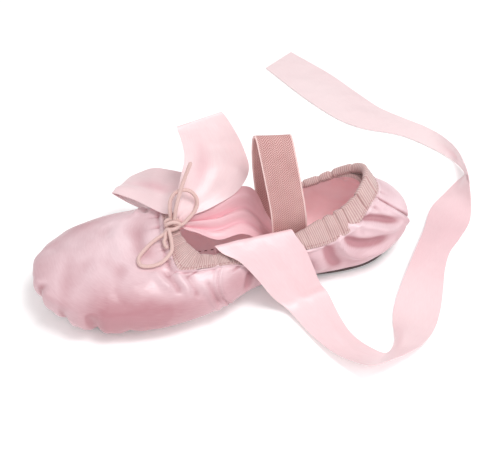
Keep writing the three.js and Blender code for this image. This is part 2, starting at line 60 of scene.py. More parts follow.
# Length, ball width and heel height of the shoe that the tables of lines and places are given for.
TABLE_SHOE = np.array([200.0, 79.2, 48.5])

# Sections of the last: station, half width as a share of the ball width, and top, bulge and
# bottom heights as shares of the heel height.
SECTIONS = np.array([
    [0.00, 0.227, 0.935, 0.372, 0.020],
    [0.14, 0.289, 1.000, 0.401, 0.015],
    [0.28, 0.307, 0.907, 0.405, 0.046],
    [0.43, 0.325, 0.790, 0.378, 0.128],
    [0.58, 0.451, 0.770, 0.356, 0.073],
    [0.72, 0.500, 0.734, 0.330, 0.025],
    [0.86, 0.459, 0.697, 0.377, 0.029],
    [1.00, 0.411, 0.649, 0.478, 0.103],
])
HEEL_ROUNDING = 43.1
TOE_ROUNDING = 45.7
HEEL_POWER = 2.2
TOE_POWER = 2.3
TOP_POWER = 2.1
LOW_POWER = 3.0

# Collar opening in plan: share of the way from its back to the throat, and half width.
COLLAR_BACK = 27.6
COLLAR_FRONT = 126.3
COLLAR = np.array([[0.00, 0.149], [0.25, 0.198], [0.50, 0.234], [0.75, 0.247], [1.00, 0.271]])
COLLAR_ROUND = (0.16, 0.14)

# Sole in plan: share of the way from its back to its front, and half width.
SOLE_BACK = 10.0
SOLE_FRONT = 190.0
SOLE = np.array([
    [0.00, 0.185], [0.20, 0.205], [0.40, 0.150], [0.55, 0.200], [0.72, 0.330], [0.86, 0.330],
    [1.00, 0.260],
])
SOLE_ROUND = (0.12, 0.20)
SOLE_MEAN = 0.225
SOLE_LAP = 4.5

# Ends of the middle line that the plates of the sole spread from.
PLATE_MIDDLE = (SOLE_BACK + 14, SOLE_FRONT - 30)

# Elastic strap: middle of each row as shares of the shoe's length, and its turn in degrees.
STRAP_ROWS = np.array([
    [0.35, 0.06, 0.095, 4], [0.35, 0.062, 0.135, 4], [0.351, 0.061, 0.18, 7],
    [0.355, 0.056, 0.235, 10], [0.363, 0.0465, 0.295, 12], [0.371, 0.0335, 0.355, 13],
    [0.376, 0.021, 0.395, 13], [0.378, 0.008, 0.417, 13], [0.378, -0.008, 0.421, 13],
    [0.378, -0.023, 0.406, 12], [0.376, -0.038, 0.3675, 10], [0.371, -0.053, 0.31, 7],
    [0.364, -0.0645, 0.25, 3], [0.357, -0.0695, 0.19, 0], [0.355, -0.0695, 0.14, 0],
    [0.355, -0.068, 0.095, 0],
])

# Ribbons: left end x, y, z and right end x, y, z of each row, as shares of the shoe's length.
RIBBON_NEAR_ROWS = np.array([
    [0.55, 0.078, 0.1, 0.38, 0.073, 0.095],
    [0.5475, 0.078, 0.145, 0.3675, 0.073, 0.15],
    [0.552, 0.0845, 0.1825, 0.36, 0.0775, 0.182],
    [0.556, 0.097, 0.193, 0.355, 0.089, 0.1935],
    [0.5425, 0.114, 0.183, 0.347, 0.105, 0.182],
    [0.505, 0.133, 0.1625, 0.33, 0.123, 0.155],
    [0.465, 0.15, 0.11, 0.3125, 0.14, 0.105],
    [0.4225, 0.1675, 0.0425, 0.295, 0.1575, 0.0525],
    [0.3945, 0.1903, 0.020, 0.2789, 0.1621, 0.026],
    [0.3628, 0.2849, 0.013, 0.2706, 0.2432, 0.008],
    [0.3341, 0.3661, 0.025, 0.2607, 0.3043, 0.0045],
    [0.3051, 0.4242, 0.045, 0.2351, 0.3561, 0.0045],
    [0.2738, 0.4765, 0.075, 0.2027, 0.3882, 0.0045],
    [0.2269, 0.4674, 0.07, 0.1725, 0.3656, 0.0045],
    [0.173, 0.4454, 0.055, 0.1586, 0.3341, 0.0045],
    [0.1176, 0.4113, 0.035, 0.1466, 0.2941, 0.0045],
    [0.0632, 0.358, 0.015, 0.1281, 0.2513, 0.0045],
    [0.0184, 0.295, 0.005, 0.1043, 0.2147, 0.01],
    [-0.0215, 0.2229, 0.005, 0.0745, 0.1744, 0.015],
    [-0.059, 0.1505, 0.005, 0.0345, 0.1238, 0.02],
    [-0.0992, 0.0923, 0.005, -0.0093, 0.0666, 0.02],
    [-0.1488, 0.0474, 0.005, -0.0633, -0.0046, 0.015],
    [-0.207, -0.0144, 0.005, -0.1217, -0.0903, 0.0075],
    [-0.2283, -0.0603, 0.025, -0.1885, -0.1441, 0.0045],
    [-0.2397, -0.0992, 0.05, -0.2443, -0.185, 0.0045],
    [-0.246, -0.1326, 0.07, -0.2789, -0.209, 0.0045],
    [-0.266, -0.2077, 0.06, -0.2808, -0.238, 0.0045],
    [-0.2826, -0.2952, 0.04, -0.272, -0.2756, 0.0045],
    [-0.2765, -0.3801, 0.025, -0.2535, -0.3216, 0.0045],
    [-0.2516, -0.4496, 0.015, -0.2154, -0.3845, 0.0045],
    [-0.2156, -0.5055, 0.01, -0.1697, -0.4401, 0.0045],
    [-0.163, -0.5903, 0.0045, -0.0711, -0.5063, 0.0045],
    [-0.1278, -0.6752, 0.0045, -0.0203, -0.5647, 0.0045],
    [-0.0771, -0.8092, 0.0045, 0.0392, -0.689, 0.0045],
    [0.0056, -0.9776, 0.0045, 0.1147, -0.908, 0.0045],
])
RIBBON_FAR_ROWS = np.array([
    [0.34, -0.045, 0.07, 0.37, 0.04, 0.06],
    [0.38, -0.0475, 0.135, 0.41, 0.045, 0.12],
    [0.43, -0.0725, 0.21, 0.47, 0.0475, 0.1725],
    [0.51, -0.05, 0.2075, 0.54, 0.065, 0.185],
    [0.57, -0.025, 0.205, 0.585, 0.035, 0.193],
    [0.6175, -0.02, 0.206, 0.6175, 0.01, 0.2],
    [0.63, -0.0225, 0.2175, 0.605, 0, 0.215],
    [0.62, -0.04, 0.25, 0.54, -0.01, 0.2275],
    [0.6, -0.065, 0.3, 0.455, -0.0475, 0.2375],
    [0.5825, -0.09, 0.335, 0.4175, -0.08, 0.27],
    [0.585, -0.1075, 0.38, 0.425, -0.1, 0.325],
    [0.5915, -0.1175, 0.4075, 0.455, -0.115, 0.4],
    [0.5901, -0.125, 0.4103, 0.4735, -0.1275, 0.4303],
    [0.5858, -0.135, 0.3926, 0.4677, -0.14, 0.4084],
    [0.5704, -0.145, 0.3226, 0.4539, -0.165, 0.3254],
    [0.5591, -0.135, 0.2663, 0.4494, -0.185, 0.2381],
    [0.5831, -0.085, 0.2379, 0.5008, -0.19, 0.202],
    [0.6239, -0.04, 0.2139, 0.5597, -0.17, 0.2234],
    [0.6461, -0.06, 0.1929, 0.6005, -0.19, 0.2273],
    [0.6765, -0.1, 0.1894, 0.6335, -0.225, 0.2148],
    [0.7112, -0.1475, 0.1863, 0.6656, -0.26, 0.1819],
    [0.7589, -0.185, 0.1895, 0.702, -0.28, 0.1472],
    [0.7300, -0.168, 0.1700, 0.6850, -0.280, 0.1150],
    [0.6950, -0.168, 0.1400, 0.6550, -0.285, 0.0800],
    [0.6650, -0.196, 0.0950, 0.6350, -0.300, 0.0429],
    [0.6450, -0.210, 0.0600, 0.6250, -0.315, 0.0197],
])

# Drawstring: two strands that leave the binding under the knot, each with a loop and an end.
STRAND_LONG = np.array([
    [0.650, -0.004, 0.1985], [0.6440, -0.0055, 0.2080], [0.6425, -0.0065, 0.2195],
    [0.643, -0.007, 0.2305], [0.6428, -0.012, 0.2477], [0.6374, -0.0225, 0.2672],
    [0.6235, -0.03, 0.2806], [0.6001, -0.031, 0.2841], [0.5811, -0.026, 0.2756],
    [0.5711, -0.0175, 0.2525], [0.5795, -0.007, 0.2335], [0.6015, 0.007, 0.2206],
    [0.6166, 0.0130, 0.2123], [0.6290, 0.0100, 0.2080], [0.6365, 0.0060, 0.2110],
    [0.6358, 0.0040, 0.2210], [0.6339, 0.0035, 0.2312], [0.63, 0, 0.2511],
    [0.6176, -0.012, 0.2838], [0.6003, -0.025, 0.3206], [0.5791, -0.0325, 0.3666],
])
STRAND_SHORT = np.array([
    [0.652, 0.004, 0.1985], [0.6570, -0.001, 0.2070], [0.655, -0.0058, 0.2155],
    [0.6463, -0.0044, 0.2199], [0.6354, -0.0031, 0.2199], [0.6268, -0.0017, 0.2153],
    [0.624, -0.0004, 0.2082], [0.6282, 0.001, 0.2014], [0.6377, 0.0023, 0.1977],
    [0.6485, 0.0037, 0.1987], [0.6562, 0.005, 0.2039], [0.6577, 0.0064, 0.2112],
    [0.6523, 0.0077, 0.2176], [0.6423, 0.0091, 0.2205], [0.6317, 0.0104, 0.2186],
    [0.625, 0.0118, 0.2129], [0.6290, 0.0150, 0.2070], [0.6430, 0.0180, 0.2050],
    [0.6569, 0.0215, 0.2078], [0.6707, 0.0241, 0.1988], [0.69, 0.0289, 0.1927],
    [0.7165, 0.0431, 0.1849], [0.7446, 0.0719, 0.1788], [0.743, 0.0922, 0.1748],
    [0.7174, 0.1008, 0.1741], [0.689, 0.0981, 0.1793], [0.6625, 0.0791, 0.1908],
    [0.6562, 0.0541, 0.1975], [0.6551, 0.0329, 0.2057], [0.6560, 0.0240, 0.2120],
    [0.6610, 0.0210, 0.2090], [0.6650, 0.0270, 0.2010], [0.6676, 0.0353, 0.1962],
    [0.6724, 0.0436, 0.1942], [0.673, 0.0564, 0.1921], [0.6687, 0.0679, 0.1906],
])

# Grid of the satin upper, points down the satin and up the lining, and of the collar tape, points
# up its face, over its rim and down its inner face.
SATIN_POINTS, LINING_POINTS = 98, 44
FACE_POINTS, RIM_POINTS, INNER_POINTS = 16, 10, 9

# Folds of the satin: height (a trough is negative), width, share kept on the far side, and the
# line that the fold follows, all in millimetres on a shoe 200 long.
FOLDS = [
    (2.3, 2.6, 0.6, [(47, 19.5, 36), (40.2, 19.5, 35.8), (29.2, 19.6, 32.5), (18.5, 17.7, 26.2),
                     (5, 11, 20)]),
    (-2.4, 2.6, 0.6, [(44, 17.6, 39.2), (34.4, 18.2, 37.9), (25.9, 17.8, 35.5), (16.4, 15.8, 30.2),
                      (5, 10, 22)]),
    (2.6, 2.5, 0.5, [(46.5, 19.6, 36), (46.6, 22.5, 28.8), (42.4, 23.5, 21.8), (36.6, 23.2, 17.0),
                     (28.9, 22, 15.6), (18.9, 18.4, 14.6), (8, 12.5, 15)]),
    (-2.3, 3.2, 0.5, [(43, 21.2, 31.5), (40, 22, 27), (32, 22, 23.6), (24.4, 20.4, 21.8), (13, 16, 20)]),
    (-1.3, 3.2, 0.8, [(53, 24, 29), (51, 25.5, 20), (45, 25.5, 11)]),
    (1.0, 4.0, 0.8, [(61, 24, 27), (58, 26, 18), (55, 25, 9)]),
    (1.3, 2.6, 0.8, [(143.7, 20, 33), (140.4, 27.6, 30.7), (135, 33.5, 27)]),
    (-1.2, 2.6, 0.8, [(138.5, 21, 33), (135, 29, 30), (131, 34.5, 25.5)]),
    (1.4, 2.5, 0.8, [(133.6, 23, 32.8), (130.2, 30.8, 28.9), (127, 35.5, 23.5)]),
    (-1.1, 2.2, 0.8, [(129, 25, 32), (126, 32, 28), (124, 36, 21)]),
    (1.2, 1.7, 0.8, [(122.5, 30, 29), (119.4, 34.8, 23), (116, 36, 15), (113, 33, 9)]),
    (-1.0, 1.6, 0.8, [(118.8, 30, 28.5), (116.5, 34.4, 22), (113.5, 35, 14)]),
    (-0.6, 4.5, 0.9, [(140, -20, 33), (144, -8, 35), (147, 4, 35.5), (146, 18, 33)]),
    (0.5, 4.6, 0.9, [(152, -22, 32), (156, -6, 34.5), (156, 8, 34.2), (152, 22, 31)]),
    (-0.55, 5.0, 0.6, [(152, 4, 35), (158, 16, 33), (162, 28, 28), (163, 36, 20)]),
    (0.5, 5.0, 0.6, [(164, -2, 34.5), (170, 12, 32.5), (174, 24, 28), (174, 34, 20)]),
    (-0.5, 4.6, 0.6, [(176, -6, 33), (183, 6, 30), (186, 16, 27), (184, 26, 21)]),
    (-1.2, 3.2, 0.9, [(93, 24, 27), (96, 28, 21), (98, 29, 13)]),
    (1.0, 3.2, 0.9, [(84, 22, 29), (87, 25.5, 22), (88, 26.5, 14)]),
    (-1.0, 3.2, 0.9, [(74, 22, 29), (76, 25, 22), (77, 25, 13)]),
]

# Lines of the seams.
BACK_SEAM = np.array([
    [25, 9.2, 44], [22.9, 9.9, 42.6], [18.1, 10.9, 39], [12, 10.8, 33.4], [7, 9.3, 28.3],
    [1.8, 5.5, 21.1], [0.6, 3.2, 17], [1.0, 2, 11],
])
SIDE_SEAM = np.array([
    [109.5, 24.0, 31.5], [111.6, 27.7, 29.9], [113.8, 32.3, 25.8], [112.6, 34.7, 19.4],
    [108.7, 33.2, 12.1], [105, 29, 7],
])

# Seams: line, height, width and whether it is on one side or on both. A side seam is a groove
# between two stitched ridges, and the back seam a groove beside one.
SEAMS = (
    (SIDE_SEAM + [1.4, 0, 0], 0.7, 0.9, 2),
    (SIDE_SEAM - [1.4, 0, 0], 0.7, 0.9, 2),
    (SIDE_SEAM, -0.5, 0.7, 2),
    (BACK_SEAM, -1.3, 0.8, 1),
    (BACK_SEAM + [1.2, 1.4, -0.8], 1.1, 1.4, 1),
)

# Gentle swell of the satin: height, size and seed.
SWELLS = ((0.45, 34, 3), (0.16, 13, 5))

# The satin just below the tape: how far below it the roll and the groove lie and their width, and
# the share and reach of the tape's puckers that carry on in it.
ROLL_PLACE, ROLL_GROOVE, ROLL_WIDTH = 1.0, 2.9, 0.8
GATHER_SHARE, GATHER_REACH = 0.8, 5.5

# Height of that roll, what the throat adds to it, the depth of its groove there, and the throat's
# middle and reach as angles from the heel.
ROLL_HEIGHT, ROLL_MORE, GROOVE_DEPTH = 1.0, 0.5, 0.9
THROAT_MIDDLE, THROAT_REACH = 2.6, 0.5

# Toe pleats: place along the outline from the tip in millimetres, depth, width, and how far below
# the widest line they begin. Each grows to its full depth over PLEAT_GROWTH.
PLEAT_GROWTH = 13
PLEATS = np.array([
    [-64, 0.7, 3.0, 2], [-50, 1.0, 3.0, -3], [-42, 0.7, 2.0, 5], [-34, 1.4, 3.0, -7],
    [-27, 0.7, 1.8, 4], [-20, 1.2, 2.6, -6], [-13, 0.6, 1.8, 5], [-7, 0.9, 2.4, -4],
    [2, 0.7, 2.0, 3], [10, 1.7, 2.7, -10], [18, 0.7, 1.8, 5], [26, 1.1, 2.4, -4],
    [34, 0.8, 2.0, 4], [42, 1.8, 3.2, -8], [50, 0.7, 2.2, 5], [60, 0.8, 3.0, 0],
])

# Stretches of the satin's painted shade along the tables' shoe: where the heel ends, the front and
# the tip start, and the middle and reach of the waist, where it stands for the near ribbon's shadow.
HEEL_ENDS, FRONT_STARTS, TIP_STARTS, WAIST = (50, 75), (95, 150), (164, 188), (101, 11)

# How much painted shade the satin gets in a trough 1 mm deep, how much more at the heel, and at the most.
TROUGH_SHADE, HEEL_SHADE, DEEPEST_SHADE = 0.55, 0.2, 0.9

# The painted shade on the satin's lower side, where it turns under: where it starts and is full, past
# the widest line, and its strength. Each is followed by what the front and the waist add.
UNDER_SHADE = ((-17, -28, -28), (3, -5, -6), (0.28, 0.72, 0.5))

# How far down the outside the binding reaches: angle round the shoe, share of its full reach.
TAPE_REACH = np.array([
    [0.0, 0.70], [0.5, 0.76], [1.1, 1.0], [1.8, 1.12], [2.15, 1.46], [2.35, 1.50], [2.55, 1.20],
    [2.75, 0.82], [2.95, 0.56], [3.3, 0.46], [4.0, 1.0], [4.5, 1.1], [5.1, 1.0], [5.78, 0.76],
    [6.2832, 0.70],
])

# Deep puckers of the tape beside the throat: angle round the shoe, depth and width.
TAPE_PUCKERS = [(2.36, 1.5, 1.2), (2.60, 1.6, 1.3), (0.95, 1.2, 1.2)]

# How far the tape's face stands off, the angle of the throat's corner, where its ribs are crowded,
# how many more there are and how far round the corner that reaches.
TAPE_STAND = 0.72
THROAT_CORNER = 2.55
RIB_CROWDING = 0.6
RIB_CROWD_REACH = 13

# Where the puckers leave the tape's face, and their shares of the rim, its top and the inner face.
PUCKER_FLOOR, PUCKER_RIM, PUCKER_TOP, PUCKER_INNER = 0.42, 0.8, 0.75, 0.5

# The padded rim at the heel: how sharply it is limited to the heel, how its rise grows up the face
# and falls again down the inner face, and how far it leans back as a share of its rise.
LIP_POWER, LIP_GROWTH, LIP_FALL, LIP_LEAN = 6, 1.4, 0.65, 0.28

# Columns of the tape's and the insole's profiles along which the stitches run.
TAPE_SEAM = 2
INSOLE_SEAM = 13

# A stitch: corners of a tapered block of size 2, and its faces.
STITCH_BLOCK = np.array([
    [-1, -1, -0.5], [1, -1, -0.5], [1, 1, -0.5], [-1, 1, -0.5],
    [-0.7, -0.6, 1], [0.7, -0.6, 1], [0.7, 0.6, 1], [-0.7, 0.6, 1],
])
STITCH_FACES = np.array([
    [0, 3, 2, 1], [4, 5, 6, 7], [0, 1, 5, 4], [1, 2, 6, 5], [2, 3, 7, 6], [3, 0, 4, 7],
])

# Ribbon ripples: row, place across (0 to 1), reach in rows, reach across, height in millimetres.
NEAR_RIPPLES = [
    (3.6, 0.30, 1.4, 0.12, 0.6), (5.2, 0.62, 2.0, 0.14, 1.1), (7.0, 0.25, 1.8, 0.16, 0.9),
    (9.5, 0.6, 1.6, 0.2, 0.7), (14.5, 0.55, 1.0, 0.25, 0.9), (17.5, 0.45, 1.6, 0.3, 1.1),
    (20.5, 0.55, 1.6, 0.3, 1.0), (24.2, 0.35, 0.8, 0.25, 0.9), (27.0, 0.6, 0.9, 0.2, -0.6),
    (31.2, 0.5, 1.1, 0.3, 0.7), (33.0, 0.4, 0.6, 0.4, 0.4),
]
FAR_RIPPLES = [
    (2.2, 0.02, 0.9, 0.22, 4.5), (3.3, 0.20, 1.7, 0.075, 2.6), (3.5, 0.36, 1.7, 0.065, -2.1),
    (3.2, 0.54, 1.8, 0.07, 2.8), (3.4, 0.70, 1.6, 0.065, -1.7), (3.0, 0.84, 1.4, 0.06, 1.0),
    (8.2, 0.55, 0.9, 0.10, 0.9), (8.8, 0.3, 1.2, 0.12, -0.8), (10.2, 0.62, 0.9, 0.12, 0.7),
    (14.5, 0.4, 0.8, 0.2, 0.8), (17.4, 0.30, 1.0, 0.10, 0.7), (19.0, 0.55, 1.4, 0.12, -0.8),
    (20.5, 0.3, 0.8, 0.2, 0.8), (23.5, 0.5, 0.8, 0.2, 0.7),
]
STRAP_RIPPLES = [(4.0, 0.5, 1.2, 0.5, 0.25), (9.0, 0.5, 1.2, 0.4, -0.2)]

# Painted shade on the ribbons: the rows over which it fades out and how strong it is before them,
# the far one's painted shade all along, and the row, reach and depth of the near one's painted shade
# at its twist and at its turn over the collar.
NEAR_FADE, FAR_FADE, FAR_PAINTED_SHADE = (24, 27, 0.18), (3.5, 6.5, 0.6), 0.15
NEAR_TURNS = ((21.5, 2.4, 0.3), (4.0, 2.5, 0.3))

# Sizes of the patterns in the cloth, in metres: slubs of the satin and their stretch, its crumples,
# blotches of the cotton, ribs, weave and wear of the tape, turns, threads, rows, selvedge and
# blotches of the elastic, plaits of the cord and how many go round it, nap and scuffs of the suede,
# and the ply of the sewing thread.
SLUB, SLUB_STRETCH, CRUMPLE = 0.0005, 0.09, 0.011
COTTON_BLOTCH = 0.018
RIB, TAPE_WEAVE, TAPE_WEAR = 0.00105, 0.0007, 0.006
HERRINGBONE_TURN, HERRINGBONE_THREAD, HERRINGBONE_ROW = 0.003, 0.0012, 0.0010
SELVEDGE, ELASTIC_BLOTCH = 0.0007, 0.009
PLAIT, PLAITS_ROUND = 0.0014, 4
NAP, SCUFF = 0.0009, 0.014
THREAD_PLY = 0.0004

# The camera: azimuth, height and roll in degrees, focal length and picture width in pixels, sensor
# width in millimetres, the point it looks at and its distance from there.
CAMERA_TURNS = (163.45, 41.01, 0.2)
CAMERA_FOCUS, IMAGE_WIDTH, SENSOR_WIDTH = 1148.8, 500, 36
CAMERA_AIM = (0.0478, -0.00576, 0.0251)
CAMERA_DISTANCE = 0.6

# The lights: name, place, side length and power, and the point that they face.
LIGHTS = (
    ("key", (-0.20, 0.40, 1.2), 0.45, 7.7),
    ("front", (0.15, 0.8, 0.75), 0.7, 2.6),
    ("side", (0.9, -0.1, 0.8), 0.6, 2.0),
    ("heel", (-0.8, 0.55, 0.65), 0.25, 1.5),
    ("rear", (-0.2, -1.1, 0.9), 0.9, 2.5),
)
LIGHT_AIM = (0.05, 0, 0.02)
WHITE = (1.0, 1.0, 1.0, 1.0)
FLOOR_REACH = 4.0
# Glow of the floor and of the surround, and the painted glow of the lining and the insole.
FLOOR_GLOW, SURROUND_GLOW, LINING_PAINTED_GLOW = 0.16, 0.33, 0.16


def linear(hex_colour):
    """Turns an sRGB hex value to linear red, green, blue and one for alpha."""
    parts = [int(hex_colour[i:i + 2], 16) / 255 for i in (0, 2, 4)]
    return tuple(c / 12.92 if c <= 0.04045 else ((c + 0.055) / 1.055) ** 2.4 for c in parts) + (1.0,)


def length_setting(name, about, default):
    return FloatProperty(name=name, description=about, default=default, min=0.0, precision=4,
                         subtype="DISTANCE", unit="LENGTH")


def colour_setting(name, about, hex_colour):
    return FloatVectorProperty(name=name, description=about, default=linear(hex_colour), size=4,
                               min=0.0, max=1.0, subtype="COLOR")


class SlipperSizes(bpy.types.PropertyGroup):
    """Sizes that a user would change."""

    shoe_length: length_setting("Shoe length", "Heel to toe", 0.200)
    ball_width: length_setting("Ball width", "Widest place of the last", 0.0792)
    heel_height: length_setting("Heel height", "Top of the collar at the heel", 0.0485)
    wall: length_setting("Wall", "Satin and lining together", 0.0014)
    sole_thickness: length_setting("Sole thickness", "Suede outsole", 0.0018)
    insole_thickness: length_setting("Insole thickness", "Lined insole", 0.0012)
    binding_outside: length_setting("Binding outside", "Reach of the tape down the outside", 0.012)
    binding_inside: length_setting("Binding inside", "Reach of the tape down the inside", 0.0065)
    heel_puff: length_setting("Heel puff", "How far the tape stands above the heel", 0.0065)
    strap_width: length_setting("Strap width", "Width of the elastic", 0.018)
    strap_thickness: length_setting("Strap thickness", "Thickness of the elastic", 0.0010)
    ribbon_thickness: length_setting("Ribbon thickness", "Thickness of the ribbons", 0.00035)
    cord_diameter: length_setting("Cord diameter", "Drawstring", 0.0020)
    fold_height: FloatProperty(name="Fold height", description="Strength of the satin's folds",
                               default=1.0, min=0.0, max=2.0, subtype="FACTOR")


class SlipperColours(bpy.types.PropertyGroup):
    """Colours that a user would change."""

    satin_light: colour_setting("Satin light", "Satin where it catches the light", "f0d2d8")
    # The deep satin colour shows both random blotches and painted shade in the creases, on the lower side and
    # at the waist.
    satin_blotch_and_shade: colour_setting("Satin deep", "Satin in its folds", "bd868e")
    lining: colour_setting("Lining", "Cotton lining and insole", "fbdddf")
    lining_deep: colour_setting("Lining deep", "Blotches of the lining", "f0bdc0")
    insole_deep: colour_setting("Insole deep", "Blotches of the insole", "eeb9bc")
    tape: colour_setting("Binding tape", "Ribs of the collar tape", "e3c9c5")
    # The groove colour is painted shade between the ribs, and also shows in the tape's worn patches.
    tape_groove_shade_and_wear: colour_setting("Binding groove", "Grooves between the ribs", "bb8c8c")
    elastic: colour_setting("Elastic", "Raised threads of the elastic", "e6bcb8")
    # The sunk colour is painted shade on the elastic's sunk threads, shifted by random blotches.
    elastic_sunk_shade_and_blotch: colour_setting("Elastic deep", "Sunk threads of the elastic", "b07674")
    elastic_edge: colour_setting("Elastic edge", "Selvedge of the elastic", "f3d2cf")
    ribbon_light: colour_setting("Ribbon light", "Ribbon where it catches the light", "f8e1e3")
    # The deep ribbon colour shows both random blotches and painted shade in the troughs, at the turns and
    # where the ribbon is tucked in.
    ribbon_blotch_and_shade: colour_setting("Ribbon deep", "Ribbon in its folds", "ecb4bd")
    cord: colour_setting("Drawstring", "Raised threads of the cord", "e6c7c2")
    # The deep cord colour is painted shade where the plait's threads sink.
    cord_sunk_shade: colour_setting("Drawstring deep", "Sunk threads of the cord", "dcb6b0")
    suede: colour_setting("Suede", "Outsole where it is scuffed", "5c4a48")
    suede_deep: colour_setting("Suede deep", "Outsole's nap", "3d3032")
    binding_thread: colour_setting("Binding thread", "Stitches of the binding", "c08e90")
    insole_thread: colour_setting("Insole thread", "Stitches of the insole", "8e5f63")
    floor: colour_setting("Floor", "Plain pale floor", "fdfdfd")


def chosen(context):
    """The sizes and colours that are set."""
    return context.scene.slipper_sizes, context.scene.slipper_colours


def column(table, key, at):
    """A smooth curve through a table's column that never overshoots its rows: cubic pieces whose
    tangents are the weighted harmonic mean of the slopes on both sides."""
    xs, ys = table[:, 0], table[:, key]
    h = np.diff(xs)
    slope = np.diff(ys) / h
    before, after = slope[:-1], slope[1:]
    wide, narrow = 2 * h[1:] + h[:-1], h[1:] + 2 * h[:-1]
    same = before * after > 0
    safe = np.where(same, wide / np.where(same, before, 1) + narrow / np.where(same, after, 1), 1)
    tangent = np.concatenate([[slope[0]], np.where(same, (wide + narrow) / safe, 0), [slope[-1]]])
    i = np.clip(np.searchsorted(xs, at, side="right") - 1, 0, len(xs) - 2)
    t = np.clip((at - xs[i]) / h[i], 0, 1)
    u = 1 - t
    return ((1 + 2 * t) * u * u * ys[i] + t * u * u * h[i] * tangent[i]
            + t * t * (3 - 2 * t) * ys[i + 1] - t * t * u * h[i] * tangent[i + 1])


def rounding(share, power):
    """Share of the full width near a rounded end: a quarter of a superellipse."""
    a = np.clip(1 - share, 0, 1)
    return (1 - a ** power) ** (1 / power)


def smooth_step(low, high, value):
    """Rises from 0 to 1 between low and high with a flat start and end."""
    t = np.clip((value - low) / (high - low), 0, 1)
    return t * t * (3 - 2 * t)


def bell(value, width):
    """Falls from 1 at zero by the square of the value: a normal curve."""
    return np.exp(-(value / width) ** 2)


def unit(vectors):
    return vectors / np.maximum(np.linalg.norm(vectors, axis=-1, keepdims=True), 1e-9)


def round_angles(count):
    """Even angles round the shoe, from the heel."""
    return np.arange(count) / count * 2 * math.pi


def from_heel(angle):
    """Angle from the heel, the same on both sides."""
    return np.minimum(angle, 2 * math.pi - angle)


def closed(values):
    """The same rows with the first one again at the end."""
    return np.concatenate([values, values[:1]])


def to_metres(points):
    """Brings points from the heel's millimetres to the frame's metres."""
    return (points - [HEEL_SEAT, 0, 0]) * MM


def arc_length(points):
    """Distance along a run of points from its first one."""
    steps = np.linalg.norm(np.diff(points, axis=0), axis=1)
    return np.concatenate([[0.0], np.cumsum(steps)])


def read_at(values, along, where):
    """Rows of values read off at the given distances along a run."""
    return np.stack([np.interp(where, along, values[:, k]) for k in range(3)], -1)


def smooth_path(points, count):
    """Centripetal Catmull-Rom curve: a cubic between each two points whose tangents weigh the
    neighbouring chords by the square root of their length."""
    points = np.asarray(points, float)
    padded = np.vstack([2 * points[0] - points[1], points, 2 * points[-1] - points[-2]])
    at = np.linspace(0, len(points) - 1, count)
    i = np.minimum(at.astype(int), len(points) - 2)
    t = (at - i)[:, None]
    p0, p1, p2, p3 = (padded[i + k] for k in range(4))
    d0, d1, d2 = (np.sqrt(np.maximum(np.linalg.norm(b - a, axis=1, keepdims=True), 1e-9))
                  for a, b in ((p0, p1), (p1, p2), (p2, p3)))
    t1 = ((p1 - p0) / d0 - (p2 - p0) / (d0 + d1) + (p2 - p1) / d1) * d1
    t2 = ((p2 - p1) / d1 - (p3 - p1) / (d1 + d2) + (p3 - p2) / d2) * d1
    return p1 + t1 * t + (3 * (p2 - p1) - 2 * t1 - t2) * t ** 2 + (2 * (p1 - p2) + t1 + t2) * t ** 3


def ridge(points, normals, line, height, width):
    """Height of a soft ridge or trough: the fold's height times a bell of the distance to its line,
    with a shallow dip on both sides, fading out over the line's two ends. The line is first brought
    onto the surface along the normal of the nearest of every third point."""
    path = smooth_path(line, 5 * len(line))
    flat, up = points.reshape(-1, 3), normals.reshape(-1, 3)
    near = ((path[:, None] - flat[None, ::3]) ** 2).sum(-1).argmin(1) * 3
    path = path + up[near] * ((flat[near] - path) * up[near]).sum(-1, keepdims=True)
    start, run = path[:-1], np.diff(path, axis=0)
    offset = points[..., None, :] - start
    t = np.clip((offset * run).sum(-1) / (run * run).sum(-1), 0, 1)
    gap = np.linalg.norm(offset - t[..., None] * run, axis=-1)
    nearest = gap.argmin(-1)
    far = np.take_along_axis(gap, nearest[..., None], -1)[..., 0] / width
    place = (nearest + np.take_along_axis(t, nearest[..., None], -1)[..., 0]) / len(run)
    ends = 0.1 + 0.06 * width
    fade = smooth_step(0, ends, place) * smooth_step(0, ends, 1 - place)
    return height * fade * (1 - 0.55 * far ** 2) * bell(far, 1)


def waves(points, size, seed):
    """Gentle irregular swell between -1 and 1: the mean of six sine waves in seeded directions."""
    rng = np.random.default_rng(seed)
    total = np.zeros(points.shape[:-1])
    for k in range(6):
        direction = unit(rng.normal(size=3)) * 2 * math.pi / (size * rng.uniform(0.7, 1.5))
        total += np.sin(points @ direction + rng.uniform(0, 6.28))
    return total / 3.2


